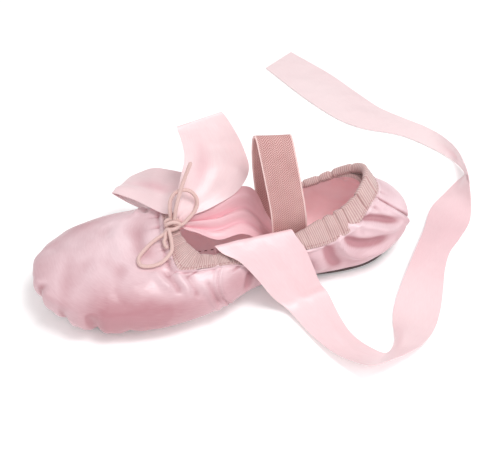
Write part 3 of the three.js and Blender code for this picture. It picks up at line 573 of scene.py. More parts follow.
class Last:
    """The form that the shoe is pulled over, in millimetres from the back of the heel."""

    def __init__(self, sizes):
        self.length = sizes.shoe_length / MM
        self.ball = sizes.ball_width / MM
        self.heel = sizes.heel_height / MM
        self.rest = sizes.sole_thickness / MM + GAP
        self.scale = self.length / TABLE_SHOE[0]

    def to_table(self, points):
        """Brings points to the shoe that the tables of lines are given for."""
        return points * (TABLE_SHOE / [self.length, self.ball, self.heel])

    def section(self, x):
        """Half width, bulge height, rise above it and drop below it of the cross section at x."""
        k = rounding(x / HEEL_ROUNDING, HEEL_POWER) * rounding((self.length - x) / TOE_ROUNDING, TOE_POWER)
        half, top, bulge, bottom = (column(SECTIONS, key, x / self.length) for key in (1, 2, 3, 4))
        return (half * self.ball * k, bulge * self.heel, (top - bulge) * self.heel * k,
                (bulge - bottom) * self.heel * k)

    def top_height(self, x, y):
        half, bulge, rise, _ = self.section(x)
        r = np.clip(np.abs(y) / np.maximum(half, 1e-6), 0, 1)
        return bulge + rise * (1 - r ** TOP_POWER) ** (1 / TOP_POWER)

    def low_height(self, x, y):
        half, bulge, _, drop = self.section(x)
        r = np.clip(np.abs(y) / np.maximum(half, 1e-6), 0, 1)
        return np.maximum(self.rest, bulge - drop * (1 - r ** LOW_POWER) ** (1 / LOW_POWER))

    def plan(self, angle, start, end):
        """Station along the shoe for an angle that is 0 at the heel and half a turn at the toe."""
        return start + (end - start) * (1 - np.cos(angle)) / 2, np.where(np.sin(angle) < 0, -1.0, 1.0)

    def ring(self, angle, back, front, table, rounds):
        """A closed line in plan: half widths from a table, rounded off at both ends."""
        x, side = self.plan(angle, back * self.scale, front * self.scale)
        s = (x / self.scale - back) / (front - back)
        half = column(table, 1, s) * self.ball
        return x, side * half * rounding(s / rounds[0], 2) * rounding((1 - s) / rounds[1], 2)

    def outline(self, angle):
        x, side = self.plan(angle, 0, self.length)
        return x, side * self.section(x)[0]

    def collar(self, angle):
        return self.ring(angle, COLLAR_BACK, COLLAR_FRONT, COLLAR, COLLAR_ROUND)

    def sole(self, angle, inset):
        """The sole's outline, drawn in by the inset."""
        x, y = self.ring(angle, SOLE_BACK, SOLE_FRONT, SOLE, SOLE_ROUND)
        reach, middle = (SOLE_FRONT - SOLE_BACK) * self.scale, (SOLE_FRONT + SOLE_BACK) / 2 * self.scale
        return middle + (x - middle) * (reach - 2 * inset) / reach, y * (1 - inset / (SOLE_MEAN * self.ball))

    def meridians(self, angle, fine=150, crowding=1.6):
        """Lines over the outer surface, from the collar round to the opening underneath, with the
        distance along each. Their points crowd where the surface turns."""
        rim, edge, hole = self.collar(angle), self.outline(angle), self.sole(angle, SOLE_LAP)
        f = np.sin(np.linspace(0, 1, fine + 1) * math.pi / 2)
        g = 1 - (1 - (1 - np.cos((1 - np.arange(1, fine + 1) / fine) * math.pi / 2))) ** crowding
        upper = [rim[k][:, None] + (edge[k] - rim[k])[:, None] * f for k in (0, 1)]
        lower = [hole[k][:, None] + (edge[k] - hole[k])[:, None] * g for k in (0, 1)]
        top = self.top_height(*upper)
        top[:, -1] = self.section(edge[0])[1]
        points = np.stack([np.hstack([upper[0], lower[0]]), np.hstack([upper[1], lower[1]]),
                           np.hstack([top, self.low_height(*lower)])], -1)
        steps = np.linalg.norm(np.diff(points, axis=1), axis=2)
        return points, np.hstack([np.zeros((len(angle), 1)), np.cumsum(steps, axis=1)])

    def walk(self, line, distance):
        """Points at the given distances along each meridian."""
        points, lengths = line
        count = lengths.shape[1]
        rows = np.arange(len(lengths))[:, None]
        apart = rows * 1e5
        at = np.searchsorted((lengths + apart).ravel(), (distance + apart).ravel(), side="right")
        at = np.clip(at.reshape(distance.shape) - 1 - rows * count, 0, count - 2)
        low, high = lengths[rows, at], lengths[rows, at + 1]
        f = ((distance - low) / np.maximum(high - low, 1e-9))[..., None]
        return points[rows, at] * (1 - f) + points[rows, at + 1] * f

    def skin(self, angle, distance, turn=0.004, step=0.4):
        """Points of the outer surface and its outward normals, from the cross product of the step
        round the shoe and the step down the meridian."""
        here = self.meridians(angle)
        before, after = self.meridians(angle - turn), self.meridians(angle + turn)
        share = distance / here[1][:, -1:]
        across = self.walk(after, share * after[1][:, -1:]) - self.walk(before, share * before[1][:, -1:])
        down = self.walk(here, distance + step) - self.walk(here, distance - step)
        return self.walk(here, distance), unit(np.cross(across, down))

    def underside(self, x, y, offset, h=0.05):
        """Point set off from the underside, outward where the offset is positive."""
        slope_x = (self.low_height(x + h, y) - self.low_height(x - h, y)) / (2 * h)
        slope_y = (self.low_height(x, y + h) - self.low_height(x, y - h)) / (2 * h)
        normal = unit(np.stack([slope_x, slope_y, -np.ones_like(x)], -1))
        return np.stack([x, y, self.low_height(x, y)], -1) + normal * offset[..., None]


def add_object(name, data):
    """Links a new object at the origin."""
    made = bpy.data.objects.new(name, data)
    bpy.context.scene.collection.objects.link(made)
    return made


def new_mesh(name, points, faces, materials):
    """A smooth mesh from points in the heel's millimetres."""
    mesh = bpy.data.meshes.new(name)
    mesh.from_pydata(to_metres(points).tolist(), [], faces.tolist())
    for material in materials:
        mesh.materials.append(material)
    mesh.polygons.foreach_set("use_smooth", np.ones(len(faces), bool))
    return mesh


def solid(name, grid, uv, ring, materials, cell_material=None, merge=False, sharp=50):
    """Closed surface from a grid of points, rows along the piece and columns round its profile.
    The profile is closed, and the rows close in a ring or end in caps. uv has one more column, and
    one more row in a ring, so that the pattern doesn't run back at the seam."""
    rows, columns = grid.shape[:2]
    index = np.arange(rows * columns).reshape(rows, columns)
    i, j = np.meshgrid(np.arange(rows if ring else rows - 1), np.arange(columns), indexing="ij")
    corners = [(i, j), (i + 1, j), (i + 1, j + 1), (i, j + 1)]
    faces = np.stack([index[a % rows, b % columns] for a, b in corners], -1).reshape(-1, 4)
    face_uv = np.stack([uv[a, b] for a, b in corners], -2).reshape(-1, 4, 2)
    slots = np.zeros(len(faces), int) if cell_material is None else np.tile(cell_material, len(i))
    if not ring:
        k = np.arange(columns // 2 - 1)
        for row, turn in ((0, 1), (rows - 1, -1)):
            cap = [index[row, a] for a in (k, k + 1, columns - 2 - k, columns - 1 - k)]
            cap_uv = [uv[row, a] for a in (k, k + 1, k + 1, k)]
            faces = np.vstack([faces, np.stack(cap, -1)[:, ::turn]])
            face_uv = np.vstack([face_uv, np.stack(cap_uv, -2)[:, ::turn]])
            slots = np.concatenate([slots, np.zeros(len(k), int)])
    points = grid.reshape(-1, 3)
    a, b, c, d = (points[faces[:, k]] for k in range(4))
    volume = np.einsum("ij,ij->", a, np.cross(b, c)) + np.einsum("ij,ij->", a, np.cross(c, d))
    if volume < 0:
        faces, face_uv = faces[:, ::-1], face_uv[:, ::-1]
    mesh = new_mesh(name, points, faces, materials)
    layer = mesh.uv_layers.new(name="cloth")
    layer.data.foreach_set("uv", np.ascontiguousarray(face_uv, dtype=np.float32).ravel())
    mesh.polygons.foreach_set("material_index", slots.astype(np.int32))
    if merge:
        work = bmesh.new()
        work.from_mesh(mesh)
        bmesh.ops.remove_doubles(work, verts=work.verts, dist=2e-6)
        bmesh.ops.dissolve_degenerate(work, edges=work.edges, dist=1e-7)
        bmesh.ops.recalc_face_normals(work, faces=work.faces)
        work.to_mesh(mesh)
        work.free()
    mesh.set_sharp_from_angle(angle=math.radians(sharp))
    mesh.update()
    return add_object(name, mesh)


def add_painted_shade(piece, values):
    """Stores the painted shade of each point of the cloth, from 0 to 1, as its depth attribute, which the
    material darkens it by.
    """
    layer = piece.data.attributes.new("depth", "FLOAT", "POINT")
    layer.data.foreach_set("value", np.ascontiguousarray(values, dtype=np.float32).ravel())


def stitches(name, path, normals, pitch, size, material):
    """A row of small stitches: low tapered blocks of the given length, width and height, spread at
    an even pitch along a path on a surface."""
    along = arc_length(path)
    centres = np.arange(pitch / 2, along[-1], pitch)
    centre = read_at(path, along, centres)
    tangent = unit(read_at(path, along, centres + 0.1) - read_at(path, along, centres - 0.1))
    normal = unit(read_at(normals, along, centres))
    side = np.cross(normal, tangent)
    block = STITCH_BLOCK * np.array(size) / 2
    points = (centre[:, None] + block[None, :, :1] * tangent[:, None]
              + block[None, :, 1:2] * side[:, None] + block[None, :, 2:] * normal[:, None])
    faces = (STITCH_FACES[None] + 8 * np.arange(len(centre))[:, None, None]).reshape(-1, 4)
    mesh = new_mesh(name, points.reshape(-1, 3), faces, [material])
    mesh.update()
    return add_object(name, mesh)


def add_node(tree, kind, inputs=(), output=0, **settings):
    """Adds a node, sets its properties, sets or links its inputs, and gives one of its outputs."""
    node = tree.nodes.new("ShaderNode" + kind)
    for key, value in settings.items():
        setattr(node, key, value)
    for key, value in dict(inputs).items():
        if isinstance(value, bpy.types.NodeSocket):
            tree.links.new(value, node.inputs[key])
        else:
            node.inputs[key].default_value = value
    return node.outputs[output] if len(node.outputs) else None


def start_material(name):
    """An empty node material, and add_node bound to it."""
    material = bpy.data.materials.new(name)
    material.use_nodes = True
    material.node_tree.nodes.clear()
    return material, partial(add_node, material.node_tree)


def finish_material(add, surface):
    add("OutputMaterial", {"Surface": add("BsdfPrincipled", surface)})


def ripple(add, value, pitch, strength=0.5, base=0.5):
    """A sine wave of the given pitch along a coordinate, times its strength, on a base."""
    phase = add("Math", {0: value, 1: 2 * math.pi / pitch}, operation="MULTIPLY")
    wave = add("Math", {0: phase}, operation="SINE")
    return add("Math", {0: wave, 1: strength, 2: base}, operation="MULTIPLY_ADD")


def satin(name, light, deep, roughness, blotch, mottle):
    """Polyester satin: long floats of thread lie side by side, so the face is glossy along them.
    It gives the eye broad silvery highlights that stretch across the folds, over a fine streak."""
    material, add = start_material(name)
    place = add("TexCoord", output="Object")
    cloth = add("UVMap", uv_map="cloth")
    shade = add("TexNoise", {"Vector": place, "Scale": 1 / blotch, "Detail": 1.5})
    tint = add("Math", {0: shade, 1: mottle, 2: -0.4 * mottle}, operation="MULTIPLY_ADD")
    # Painted shade: the depth attribute darkens the cloth towards its deep colour in its creases, where it
    # turns under to the sole and where it lies in shade.
    depth = add("Attribute", output="Fac", attribute_name="depth")
    tint = add("Math", {0: depth, 1: tint}, operation="ADD")
    # Slubs about 0.5 mm apart and 6 mm long stand for floats too fine to show.
    stretched = add("Mapping", {"Vector": cloth, "Scale": (SLUB_STRETCH, 1.0, 1.0)})
    slub = add("TexNoise", {"Vector": stretched, "Scale": 1 / SLUB, "Detail": 1.0})
    streak = add("Math", {0: slub, 1: 0.24, 2: -0.12}, operation="MULTIPLY_ADD")
    tint = add("Math", {0: tint, 1: streak}, operation="ADD")
    crumple = add("TexNoise", {"Vector": place, "Scale": 1 / CRUMPLE, "Roughness": 0.45})
    low = add("Bump", {"Strength": 0.6, "Distance": 0.0014, "Height": crumple})
    fine = add("Bump", {"Strength": 0.35, "Distance": 0.00015, "Height": slub, "Normal": low})
    finish_material(add, {
        "Base Color": add("Mix", {0: tint, 6: light, 7: deep}, 2, data_type="RGBA"),
        "Roughness": roughness, "IOR": 1.55, "Anisotropic": 0.5,
        "Tangent": add("Tangent", direction_type="UV_MAP", uv_map="cloth"),
        "Sheen Weight": 0.12, "Sheen Roughness": 0.35, "Sheen Tint": (1.0, 0.9, 0.93, 1.0),
        "Normal": fine})
    return material


def cotton(name, colour, deep, grain):
    """Cotton lining: a plain matt weave that gives a soft even colour with small flecks."""
    material, add = start_material(name)
    place = add("TexCoord", output="Object")
    fleck = add("TexNoise", {
        "Vector": place, "Scale": 1 / grain, "Detail": 3.0, "Roughness": 0.6})
    blotch = add("TexNoise", {"Vector": place, "Scale": 1 / COTTON_BLOTCH})
    share = add("Math", {0: blotch, 1: 1.2, 2: -0.2}, operation="MULTIPLY_ADD")
    finish_material(add, {
        "Base Color": add("Mix", {0: share, 6: colour, 7: deep}, 2, data_type="RGBA"),
        "Roughness": 0.85, "Sheen Weight": 0.2, "Sheen Roughness": 0.5,
        "Specular IOR Level": 0.3, "Subsurface Weight": 0.35, "Subsurface Radius": (1.0, 0.6, 0.55),
        "Subsurface Scale": 0.004,
        # Painted light: the cloth glows a little, standing in for the light that comes through the thin cloth
        # walls and warms the inside of the shoe.
        "Emission Color": (0.5, 0.42, 0.45, 1.0), "Emission Strength": LINING_PAINTED_GLOW,
        "Normal": add("Bump", {"Strength": 0.35, "Distance": 0.0002, "Height": fleck})})
    return material


def ribbed_tape(name, raised, groove):
    """Woven cotton tape: a rib across it every 1.05 mm, with painted shade in the grooves between the
    ribs, which gives a fine matt comb of light and dark.
    """
    material, add = start_material(name)
    cloth = add("UVMap", uv_map="cloth")
    place = add("TexCoord", output="Object")
    rib = ripple(add, add("SeparateXYZ", {0: cloth}, "X"), RIB)
    weave = ripple(add, add("SeparateXYZ", {0: cloth}, "Y"), TAPE_WEAVE)
    height = add("Math", {0: weave, 1: 0.25, 2: rib}, operation="MULTIPLY_ADD")
    worn = add("TexNoise", {"Vector": place, "Scale": 1 / TAPE_WEAR})
    worn = add("Math", {0: worn, 1: 0.5, 2: -0.1}, operation="MULTIPLY_ADD")
    # Painted shade: the grooves between the ribs take the darker groove colour.
    share = add("Math", {0: rib, 1: 0.75, 2: worn}, operation="MULTIPLY_ADD")
    finish_material(add, {
        "Base Color": add("Mix", {0: share, 6: groove, 7: raised}, 2, data_type="RGBA"),
        "Roughness": 0.8, "Specular IOR Level": 0.3, "Sheen Weight": 0.3, "Sheen Roughness": 0.5,
        "Normal": add("Bump", {"Strength": 0.8, "Distance": 0.00022, "Height": height})})
    return material


def herringbone(name, raised, sunk, edge, half_width):
    """Woven elastic: a herringbone of raised threads between pale selvedges, which gives fine
    slanting lines that turn every 3 mm, with painted shade on the sunk threads."""
    material, add = start_material(name)
    place = add("TexCoord", output="Object")
    cloth = add("UVMap", uv_map="cloth")
    along = add("SeparateXYZ", {0: cloth}, "X")
    across = add("SeparateXYZ", {0: cloth}, "Y")
    turn = add("Math", {0: across, 1: HERRINGBONE_TURN}, operation="PINGPONG")
    lean = add("Math", {0: along, 1: turn}, operation="ADD")
    weft = ripple(add, across, HERRINGBONE_ROW, 0.16, ripple(add, lean, HERRINGBONE_THREAD))
    uneven = add("TexNoise", {"Vector": place, "Scale": 1 / ELASTIC_BLOTCH})
    uneven = add("Math", {0: uneven, 1: 0.5, 2: -0.25}, operation="MULTIPLY_ADD")
    share = add("Math", {0: weft, 1: uneven}, operation="ADD")
    # Painted shade: the sunk threads take the darker colour, which random blotches also shift.
    colour = add("Mix", {0: share, 6: sunk, 7: raised}, 2, data_type="RGBA")
    side = add("Math", {0: across, 1: half_width}, operation="SUBTRACT")
    side = add("Math", {0: side}, operation="ABSOLUTE")
    border = add("Math", {0: side, 1: half_width - SELVEDGE}, operation="GREATER_THAN")
    finish_material(add, {
        "Base Color": add("Mix", {0: border, 6: colour, 7: edge}, 2, data_type="RGBA"),
        "Roughness": 0.7, "Specular IOR Level": 0.35, "Sheen Weight": 0.25, "Sheen Roughness": 0.4,
        "Normal": add("Bump", {"Strength": 0.7, "Distance": 0.0002, "Height": weft})})
    return material


def braid(name, colour, deep):
    """Braided cotton cord: threads that cross in small diamonds, matt with a soft edge, and painted
    shade where they sink.
    """
    material, add = start_material(name)
    cloth = add("UVMap", uv_map="cloth")
    along = add("SeparateXYZ", {0: cloth}, "X")
    around = add("SeparateXYZ", {0: cloth}, "Y")
    along = add("Math", {0: along, 1: 2 * math.pi / PLAIT}, operation="MULTIPLY")
    around = add("Math", {0: around, 1: 2 * math.pi * PLAITS_ROUND}, operation="MULTIPLY")
    left = add("Math", {0: along, 1: around}, operation="ADD")
    left = add("Math", {0: left}, operation="SINE")
    right = add("Math", {0: along, 1: around}, operation="SUBTRACT")
    right = add("Math", {0: right}, operation="SINE")
    both = add("Math", {0: left, 1: right}, operation="MULTIPLY")
    plait = add("Math", {0: both, 1: 0.5, 2: 0.5}, operation="MULTIPLY_ADD")
    finish_material(add, {
        # Painted shade: the sunk parts of the plait take the darker colour.
        "Base Color": add("Mix", {0: plait, 6: deep, 7: colour}, 2, data_type="RGBA"),
        "Roughness": 0.78, "Specular IOR Level": 0.3, "Sheen Weight": 0.3, "Sheen Roughness": 0.45,
        "Normal": add("Bump", {"Strength": 0.6, "Distance": 0.00018, "Height": plait})})
    return material


def suede(name, colour, deep):
    """Split suede: a short dense nap that gives a dull dark surface with paler scuffs."""
    material, add = start_material(name)
    place = add("TexCoord", output="Object")
    nap = add("TexNoise", {
        "Vector": place, "Scale": 1 / NAP, "Detail": 3.0, "Roughness": 0.65})
    scuff = add("TexNoise", {
        "Vector": place, "Scale": 1 / SCUFF, "Detail": 3.0, "Roughness": 0.6})
    share = add("Math", {0: scuff, 1: 1.6, 2: -0.3}, operation="MULTIPLY_ADD")
    finish_material(add, {
        "Base Color": add("Mix", {0: share, 6: deep, 7: colour}, 2, data_type="RGBA"),
        "Roughness": 0.95, "Specular IOR Level": 0.2, "Sheen Weight": 0.5, "Sheen Roughness": 0.6,
        "Normal": add("Bump", {"Strength": 0.7, "Distance": 0.0003, "Height": nap})})
    return material


def thread(name, colour):
    """Polyester sewing thread, with a slight shine."""
    material, add = start_material(name)
    place = add("TexCoord", output="Object")
    ply = add("TexNoise", {"Vector": place, "Scale": 1 / THREAD_PLY})
    finish_material(add, {
        "Base Color": colour, "Roughness": 0.6,
        "Normal": add("Bump", {"Strength": 0.4, "Distance": 0.0001, "Height": ply})})
    return material


def upper_angles(count, seam=1.75, spread=0.17, crowding=1.8):
    """Angles round the shoe, closer together at the two side seams."""
    fine = np.linspace(0, 2 * math.pi, 9000)
    density = 1 + crowding * bell(from_heel(fine) - seam, spread)
    total = np.concatenate([[0], np.cumsum((density[1:] + density[:-1]) / 2)])
    return np.interp(np.arange(count) / count * total[-1], total, fine)


def widest_line(line):
    """Distance from the collar to the widest place of each meridian, half of its points along."""
    lengths = line[1]
    return lengths[:, lengths.shape[1] // 2][:, None]


def above_sole(line, distance):
    """Falls from 1 to 0 where the satin reaches the sole's lap, so that it lies flat under it."""
    return 1 - smooth_step(-SOLE_LAP - 5, -SOLE_LAP + 0.5, distance - line[1][:, -1:])


def pleat_height(last, angle, distance, line):
    """Height of the toe pleats: a trough along each meridian of the table, with a soft puff on
    both sides, growing below the widest line and dying out where the sole covers the edge."""
    x, y = last.outline(angle)
    run = np.concatenate([[0.0], np.cumsum(np.hypot(np.diff(x), np.diff(y)))])
    run = (np.interp(math.pi, angle, run) - run)[:, None] / last.scale
    below = distance - widest_line(line)
    height = np.zeros_like(distance)
    for place, depth, width, start in PLEATS:
        far = (run - place) / width
        grow = smooth_step(start, start + PLEAT_GROWTH, below)
        height += depth * grow * (1 + 0.25 * grow) * (0.45 * bell(np.abs(far) - 2.0, 1.1) - bell(far, 1))
    return height * above_sole(line, distance)


def gather_height(run, total):
    """Depth of the puckers along the collar: a bell at each of the seeded places."""
    rng = np.random.default_rng(11)
    places = np.cumsum(rng.uniform(5.0, 12.0, 60))
    places = places[places < total - 5]
    depths, widths = rng.uniform(0.6, 1.4, len(places)), rng.uniform(0.6, 1.25, len(places))
    height = np.zeros_like(run)
    for place, depth, width in zip(places, depths, widths):
        height -= depth * bell(run - place, width)
    return height


def collar_run(last, angle):
    """Distance along the collar's rim from its back, and its whole length."""
    x, y = last.collar(angle)
    run = arc_length(closed(np.stack([x, y, last.top_height(x, y)], -1)))
    return run[:-1], run[-1]


def rim_shift(last, angle, distance, run, total):
    """How far along the rim the rim's nearest point lies from the start of each point's own
    meridian, so that ribs and puckers can stand square to the rim."""
    rim = last.skin(angle, np.zeros((len(angle), 1)))[0][:, 0]
    tangent = unit(np.roll(rim, -1, 0) - np.roll(rim, 1, 0))
    points = last.skin(angle, distance)[0]
    shift = np.zeros_like(distance)
    for k in range(distance.shape[1]):
        here = points[:, k]
        near = ((rim ** 2).sum(1)[None] - 2 * here @ rim.T).argmin(1)
        reach = run[near] + ((here - rim[near]) * tangent[near]).sum(1) - run
        shift[:, k] = (reach + total / 2) % total - total / 2
    return shift


def tape_reach(angle, outside):
    """How far down the outside the tape reaches at each angle: narrower at the heel and the throat."""
    return (column(TAPE_REACH, 1, angle) * outside)[:, None]


def fold_height(last, points, normals, angle, distance, line, strength, outside):
    """Height of the satin over the last: folds, seams, pleats, gathers and a gentle swell."""
    near = last.to_table(points)
    mirror = np.array([1, -1, 1])
    sides = ((near, normals, 1.0), (near * mirror, normals * mirror, 0.0))
    height = np.zeros(distance.shape)
    for rise, width, other, path in FOLDS:
        for place, up, share in sides:
            height += (share or other) * ridge(place, up, path, rise, width)
    height += pleat_height(last, angle, distance, line)
    for rise, size, seed in SWELLS:
        height += rise * waves(near, size, seed)
    run, total = collar_run(last, angle)
    edge = tape_reach(angle, outside)
    below = distance - edge
    close = bell(below - ROLL_PLACE, GATHER_REACH) * smooth_step(-1.5, 1.5, below)
    height += GATHER_SHARE * gather_height(run, total)[:, None] * close
    # The satin is rolled over a fine cord just below the tape, most of all beside the throat.
    throat = bell(from_heel(angle) - THROAT_MIDDLE, THROAT_REACH)[:, None]
    height += (ROLL_HEIGHT + ROLL_MORE * throat) * bell(below - ROLL_PLACE, ROLL_WIDTH)
    height -= GROOVE_DEPTH * throat * bell(below - ROLL_GROOVE, ROLL_WIDTH)
    height *= strength
    for line_of_seam, rise, width, count in SEAMS:
        for place, up, _ in sides[:count]:
            height += ridge(place, up, line_of_seam, rise, width)
    return height * above_sole(line, distance) * smooth_step(edge - 6, edge, distance)


def satin_painted_shade(last, points, height, below):
    """How much painted shade the satin gets: in the troughs of its folds, most of all at the heel, and
    on its lower side where it turns under, most of all round the toe and at the waist, where it stands
    for the near ribbon's shadow. below is the distance past the widest line."""
    station = last.to_table(points)[..., 0]
    heel = 1 - smooth_step(*HEEL_ENDS, station)
    front = smooth_step(*FRONT_STARTS, station) * (1 - 0.75 * smooth_step(*TIP_STARTS, station))
    waist = bell(station - WAIST[0], WAIST[1]) * (1 - front)
    start, full, strength = (base + more * front + most * waist for base, more, most in UNDER_SHADE)
    under = smooth_step(start, full, below) * strength
    return np.clip(np.clip(-height * (TROUGH_SHADE + HEEL_SHADE * heel), 0, DEEPEST_SHADE) + under, 0, 1)


def strip_grid(left, right, thickness, between, across, ripples):
    """A band of cloth: each row runs straight between two smooth edge lines, is moved along the
    band's normal by its ripples, and gets the cloth's thickness. Gives the closed grid, its uv in
    metres, the length of the middle line and the painted shade of each point, darker in the troughs
    of its ripples."""
    count = (len(left) - 1) * between + 1
    a, b = smooth_path(left, count), smooth_path(right, count)
    v = np.linspace(0, 1, across)
    base = a[:, None] * (1 - v[:, None]) + b[:, None] * v[:, None]
    normal = unit(np.cross(np.gradient(base, axis=0), (a - b)[:, None]))
    side = np.where(np.abs(normal[..., 2]) > 0.05, np.sign(normal[..., 2]), 1.0)
    row = np.linspace(0, len(left) - 1, count)[:, None]
    height = np.zeros(base.shape[:2])
    for centre, place, reach, width, rise in ripples:
        height += rise * bell(row - centre, reach) * bell(v - place, width)
    base = base + normal * (height * side)[..., None]
    normal = unit(np.cross(np.gradient(base, axis=0), -np.gradient(base, axis=1)))
    front, back = base + normal * thickness / 2, base - normal * thickness / 2
    grid = np.concatenate([front, back[:, ::-1]], 1)
    middle = arc_length(base[:, across // 2])
    along = np.repeat(middle[:, None], 2 * across + 1, 1)
    over = np.concatenate([v, v[::-1], v[:1]])[None] * np.median(np.linalg.norm(a - b, axis=1))
    # Painted shade in the troughs of the ripples.
    depth = np.clip(-height * 0.5, 0, 0.7)
    depth = np.concatenate([depth, depth[:, ::-1]], 1)
    return grid, np.stack([along, np.broadcast_to(over, along.shape)], -1) * MM, middle[-1] * MM, depth


def tube(name, points, diameter, material, sides=16):
    """A round cord: a circle carried along a smooth path, with a frame that turns as little as it
    can, closing to a rounded tip at both ends."""
    path = smooth_path(points, len(points) * 60)
    even = np.linspace(0, arc_length(path)[-1], len(points) * 9)
    path = read_at(path, arc_length(path), even)
    tangent = unit(np.gradient(path, axis=0))
    side = np.zeros_like(path)
    side[0] = unit(np.cross(tangent[0], [0, 0, 1.0]))
    for k in range(1, len(path)):
        side[k] = unit(side[k - 1] - tangent[k] * (side[k - 1] @ tangent[k]))
    other = np.cross(tangent, side)
    end = np.clip(np.minimum(even, even[::-1]) / (diameter / 2), 0, 1)
    radius = diameter / 2 * np.sqrt(np.clip(1 - (1 - end) ** 2, 0.02, 1))
    turn = round_angles(sides)[:, None]
    circle = side[:, None] * np.cos(turn) + other[:, None] * np.sin(turn)
    grid = path[:, None] + circle * radius[:, None, None]
    uv = np.stack(np.broadcast_arrays(even[:, None] * MM, np.linspace(0, 1, sides + 1)[None]), -1)
    return solid(name, grid, uv, False, [material]), to_metres(path), even[-1] * MM


def binding_profile(run, total, angle, reach, inside, wall, wander=0.55, waves_round=9, body=0.55,
                    rim_rise=1.5, inner_stand=0.85):
    """Distance below the rim and offset from the satin for each point of the tape's profile: up
    the outer face, over the rim, down the inner face and back close to the cloth. The outer edge
    wanders a little, and the tape is fullest at the heel."""
    level = np.zeros((len(angle), 1))
    up = np.linspace(0, 1, FACE_POINTS)[None]
    turn = run / total * 2 * math.pi * waves_round + 1.3 * np.sin(run / 17)
    face = reach * (1 - up) + wander * np.sin(turn)[:, None] * (1 - up) ** 3
    full = (body + np.maximum(0, np.cos(angle)) ** 2)[:, None]
    face_offset = TAPE_STAND + full * (1 - (1 - np.minimum(up * 1.7, 1)) ** 2)
    bend = np.linspace(0, math.pi, RIM_POINTS + 2)[1:-1][None]
    top, low = face_offset[:, -1:], level - (wall + GAP + inner_stand)
    rim = level - GAP - rim_rise * np.sin(bend)
    rim_offset = (top + low) / 2 + (top - low) / 2 * np.cos(bend)
    down = np.linspace(0, 1, INNER_POINTS)[None]
    inner = level - GAP + (inside + GAP) * down
    inner_offset = low - 0.25 * np.sin(down * math.pi) + 0.3 * down ** 4
    back = level + [inside - 0.2, inside / 2, -GAP, -GAP]
    back_offset = level + ([-(wall + GAP)] * 3 + [GAP] * 3)
    distance = np.hstack([face, rim, inner, back, reach / 2, reach - 0.2])
    return distance, np.hstack([face_offset, rim_offset, inner_offset, back_offset]), bend


def rib_places(run, total, shift, corner):
    """Place along the tape for its ribs. The drawstring crowds them at the rim of the throat, so
    that they stay fine lower down: a hyperbolic tangent adds ribs round the corner."""
    more = RIB_CROWDING * RIB_CROWD_REACH
    shift = closed(np.hstack([shift, shift[:, :1]]))
    place = np.append(run, total)[:, None] + shift
    place = place + more * np.tanh((place - corner) / RIB_CROWD_REACH)
    ends = np.tanh((total - corner) / RIB_CROWD_REACH) + np.tanh(corner / RIB_CROWD_REACH)
    whole = total + more * ends
    pitch = RIB / MM
    return place / whole * round(whole / pitch) * pitch


def plate(last, name, inset, profile, floor, materials):
    """A plate under or inside the shoe: its profile goes out from the middle line to the edge and
    back, set off from the underside by the profile's second column."""
    angle = round_angles(260)
    edge_x, edge_y = last.sole(angle, inset)
    middle = np.clip(edge_x, PLATE_MIDDLE[0] * last.scale, PLATE_MIDDLE[1] * last.scale)
    share, offset = profile[:, 0][None], np.broadcast_to(profile[:, 1], (len(angle), len(profile)))
    x = middle[:, None] + (edge_x - middle)[:, None] * share
    grid = last.underside(x, edge_y[:, None] * share, offset)
    if floor:
        grid[..., 2] = np.maximum(grid[..., 2], 0)
    uv = closed(grid[..., :2] * MM)
    uv = np.concatenate([uv, uv[:, :1]], 1)
    return solid(name, grid, uv, True, materials, merge=True, sharp=60), grid


def faded(row, start, end, depth):
    """Falls from the depth to 0 between two rows."""
    return depth * (1 - smooth_step(start, end, row))


def near_painted_shade(row):
    """Painted shade on the near ribbon along its rows: at its turn over the collar, at its twist, and
    up to where it runs away from the shoe."""
    turns = (depth * bell(row - place, reach) for place, reach, depth in NEAR_TURNS)
    return sum(turns, faded(row, *NEAR_FADE))


def far_painted_shade(row):
    """Painted shade on the far ribbon: some all along, and most where it is tucked into the shoe."""
    return FAR_PAINTED_SHADE + faded(row, *FAR_FADE)


def place_piece(piece, slot, *nodes):
    """Puts a piece on the shoe's one body, in place of its CAD nodes."""
    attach(piece, "root")
    if nodes:
        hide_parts(*nodes)


class SLIPPER_OT_camera(bpy.types.Operator):
    """Adds the camera at the photograph's angle."""

    bl_idname = "slipper.camera"
    bl_label = "Camera"

    def execute(self, context):
        azimuth, height, roll = (math.radians(turn) for turn in CAMERA_TURNS)
        back = Vector((math.sin(azimuth) * math.cos(height), -math.cos(azimuth) * math.cos(height),
                       math.sin(height)))
        level = Vector((math.cos(azimuth), math.sin(azimuth), 0))
        upright = back.cross(level)
        right = level * math.cos(roll) + upright * math.sin(roll)
        up = upright * math.cos(roll) - level * math.sin(roll)
        view = bpy.data.cameras.new("view")
        view.sensor_fit = "HORIZONTAL"
        view.sensor_width = SENSOR_WIDTH
        view.lens = SENSOR_WIDTH * CAMERA_FOCUS / IMAGE_WIDTH
        view.clip_start = 0.01
        camera = add_object("view", view)
        turn = Matrix((right, up, back)).transposed().to_4x4()
        turn.translation = Vector(CAMERA_AIM) + back * CAMERA_DISTANCE
        camera.matrix_world = turn
        context.scene.camera = camera
        return {"FINISHED"}


class SLIPPER_OT_drawstring(bpy.types.Operator):
    """Adds the drawstring as two strands that are tied in a bow at the throat."""

    bl_idname = "slipper.drawstring"
    bl_label = "Drawstring"

    def execute(self, context):
        sizes, colours = chosen(context)
        length, diameter = sizes.shoe_length / MM, sizes.cord_diameter / MM
        material = braid("braided cotton cord", colours.cord[:], colours.cord_sunk_shade[:])
        parts = (
            ("drawstring_long_strand", STRAND_LONG, ("drawstring_loop_far", "drawstring_end_long")),
            ("drawstring_short_strand", STRAND_SHORT,
             ("drawstring_knot", "drawstring_loop_near", "drawstring_end_short")),
        )
        for name, rows, nodes in parts:
            piece, path, reach = tube(name, rows * length, diameter, material)
            place_piece(piece, "cord", *nodes)
        return {"FINISHED"}


